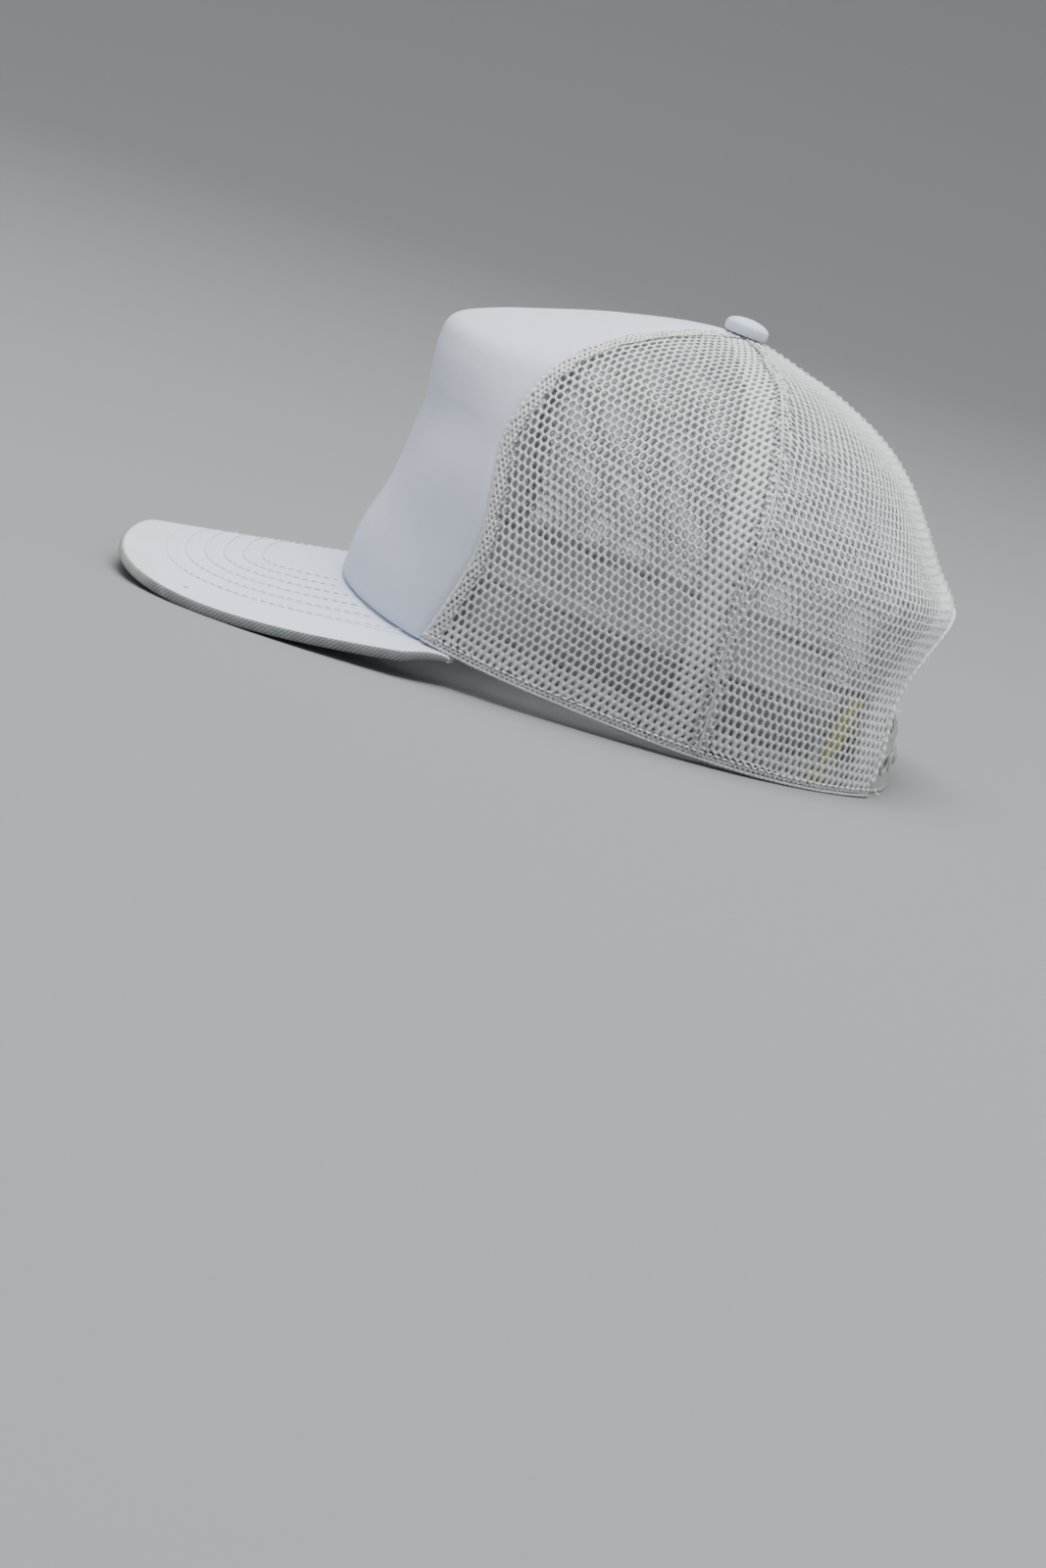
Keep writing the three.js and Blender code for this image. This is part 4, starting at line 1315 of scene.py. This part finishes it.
def makeStrapTrim():
    meshes = []
    lastStud = strap["firstHole"] + (strap["studs"] - 1 - strap["freeStuds"]) * strap["pitch"]
    bands = [(strap["firstHole"] - strap["tipBeyond"], strap["sewnEnd"], zeroDepth),
             (-strap["sewnEnd"], lastStud + strap["tipBeyond"], underDepth)]
    for start, end, depthAt in bands:
        x = np.linspace(start, end, 120)
        for height in strap["beadAt"]:
            middle = strapPoint(x, height, depthAt(x) + strap["thick"] / 2)
            normals = unit(strapPoint(x, height, depthAt(x)) - middle)
            meshes.append(ridgeMesh(middle, normals, 2 * strap["bead"], strap["bead"] + 0.05))
    steps = np.arange(-strap["freeStuds"], strap["studs"] - strap["freeStuds"])
    studs = strap["firstHole"] + strap["pitch"] * steps
    turn = np.linspace(0, 2 * np.pi, 28, endpoint=False)
    tube = np.linspace(0, 2 * np.pi, 10, endpoint=False)

    def spokes(x, depth):
        # the point on the strap's middle line at x, the direction out of the strap, and a circle around it
        centre = strapPoint(x, 0.5, depth)[0]
        out = unit(strapPoint(x, 0.5, depth - 1)[0] - centre)
        sideways = unit(np.cross([0, 0, 1.0], out))
        upward = np.cross(out, sideways)
        return centre, out, np.cos(turn)[:, None] * sideways + np.sin(turn)[:, None] * upward

    def ring(x, radius, thick, raised):
        # a torus lying on the outer strap's face, around x
        x = np.array([x])
        centre, out, spoke = spokes(x, zeroDepth(x))
        points = (centre + spoke[:, None] * (radius + thick * np.cos(tube))[None, :, None]
                  + out * (raised + thick * np.sin(tube))[None, :, None])
        vertices = points.reshape(-1, 3)
        faces = gridFaces(len(turn), len(tube), wrapRows=True, wrapColumns=True)
        return vertices, outwards(vertices, faces)

    def dome(x):
        # the rounded end of a stud
        x = np.array([x])
        centre, out, spoke = spokes(x, underDepth(x) - strap["studHigh"])
        profile = np.array([  # radius, and height over the stud's end
            [0.02, -0.5], [2.0, -0.5], [2.35, -0.2], [2.3, 0.15], [1.9, 0.45], [1.1, 0.65], [0.02, 0.72]])
        points = centre + spoke[None] * profile[:, :1, None] + out * profile[:, 1:, None]
        vertices, faces = tubeMesh(points)
        return vertices, outwards(vertices, faces)

    for k in range(strap["holes"]):
        x = strap["firstHole"] + k * strap["pitch"]
        meshes.append(ring(x, strap["holeRadius"] + 0.55, strap["collar"], 0.1))
    for x in studs:
        meshes.append(dome(x))
    vertices, faces = joined(meshes)
    made = meshPiece("strapTrim", vertices, faces, materials["plastic"])
    finishPiece(made)


makeStrapTrim()
for word in ("left", "right"):
    frame["nodes"]["strap_" + word].data.materials.clear()
    frame["nodes"]["strap_" + word].data.materials.append(materials["plastic"])
print("strap made")


# Loose threads at the back edge and lint on the visor: thin bent hairs
strays = {
    "hair": 0.19,
    # foot, and how far it reaches, in millimetres: across, along and up
    "threads": [((47.0, 80.0, 26.6), (1.0, 3.6, 0.4)), ((36.0, 86.3, -0.5), (1.4, 1.7, -1.2))],
    "lint": [(-2.0, -142.7), (3.0, -117.6), (12.0, -150.0), (-20.0, -128.0), (24.0, -112.0), (-36.0, -140.0),
             (40.0, -138.0), (6.0, -160.0)],
}


def hairMesh(foot, reach, radius, curl):
    # a tube from foot to foot + reach, bent sideways by a half wave
    share = np.linspace(0, 1, 9)[:, None]
    sideways = unit(np.cross(reach, [0.3, 0.2, 1.0]))
    line = np.array(foot) + share * np.array(reach) + sideways * curl * np.sin(np.pi * share * 1.3)
    normals = np.tile(unit(np.cross(sideways, reach)), (len(line), 1))
    return ridgeMesh(line, normals, 2 * radius, radius, around=6)


def makeStrays():
    random = np.random.default_rng(83)
    meshes = [hairMesh(foot, reach, strays["hair"], 0.5) for foot, reach in strays["threads"]]
    for x, y in strays["lint"]:
        z = visorHeight(x, y) - visor["layerGap"]
        reach = random.uniform([-1.2, -1.2, 0.3], [1.2, 1.2, 0.9])
        meshes.append(hairMesh((x, y, z), reach, strays["hair"] / 2, 0.25))
    vertices, faces = joined(meshes)
    finishPiece(meshPiece("looseThreads", vertices, faces, materials["brightThread"]))


makeStrays()
print("loose threads made")


# Floor and backdrop: one sheet that curves up far behind the cap
backdrop = {"front": 40, "side": 30, "bendFrom": -2.5, "bend": 2, "top": 8, "colour": (0.22, 0.225, 0.23, 1)}


def makeBackdrop():
    # flat to 2.5 m behind the cap, then a quarter circle of 2 m, then straight up
    turn = np.linspace(0, np.pi / 2, 24)
    bend = backdrop["bend"]
    x = np.concatenate([[backdrop["front"]], backdrop["bendFrom"] - bend * np.sin(turn),
                        [backdrop["bendFrom"] - bend]])
    z = np.concatenate([[0], bend - bend * np.cos(turn), [backdrop["top"]]])
    y = np.linspace(-backdrop["side"], backdrop["side"], 5)
    grid = np.stack(np.broadcast_arrays(x[:, None], y[None, :], z[:, None]), -1)
    mesh = bpy.data.meshes.new("backdrop")
    mesh.from_pydata(grid.reshape(-1, 3).tolist(), [], gridFaces(len(x), len(y))[:, ::-1].tolist())
    mesh.polygons.foreach_set("use_smooth", np.full(len(mesh.polygons), True))
    material = bpy.data.materials.new("paleFloor")
    material.use_nodes = True
    shader = material.node_tree.nodes["Principled BSDF"]
    shader.inputs["Base Color"].default_value = backdrop["colour"]
    shader.inputs["Roughness"].default_value = 0.9
    mesh.materials.append(material)
    floor = bpy.data.objects.new("backdrop", mesh)
    bpy.context.scene.collection.objects.link(floor)


makeBackdrop()
print("scene ready")
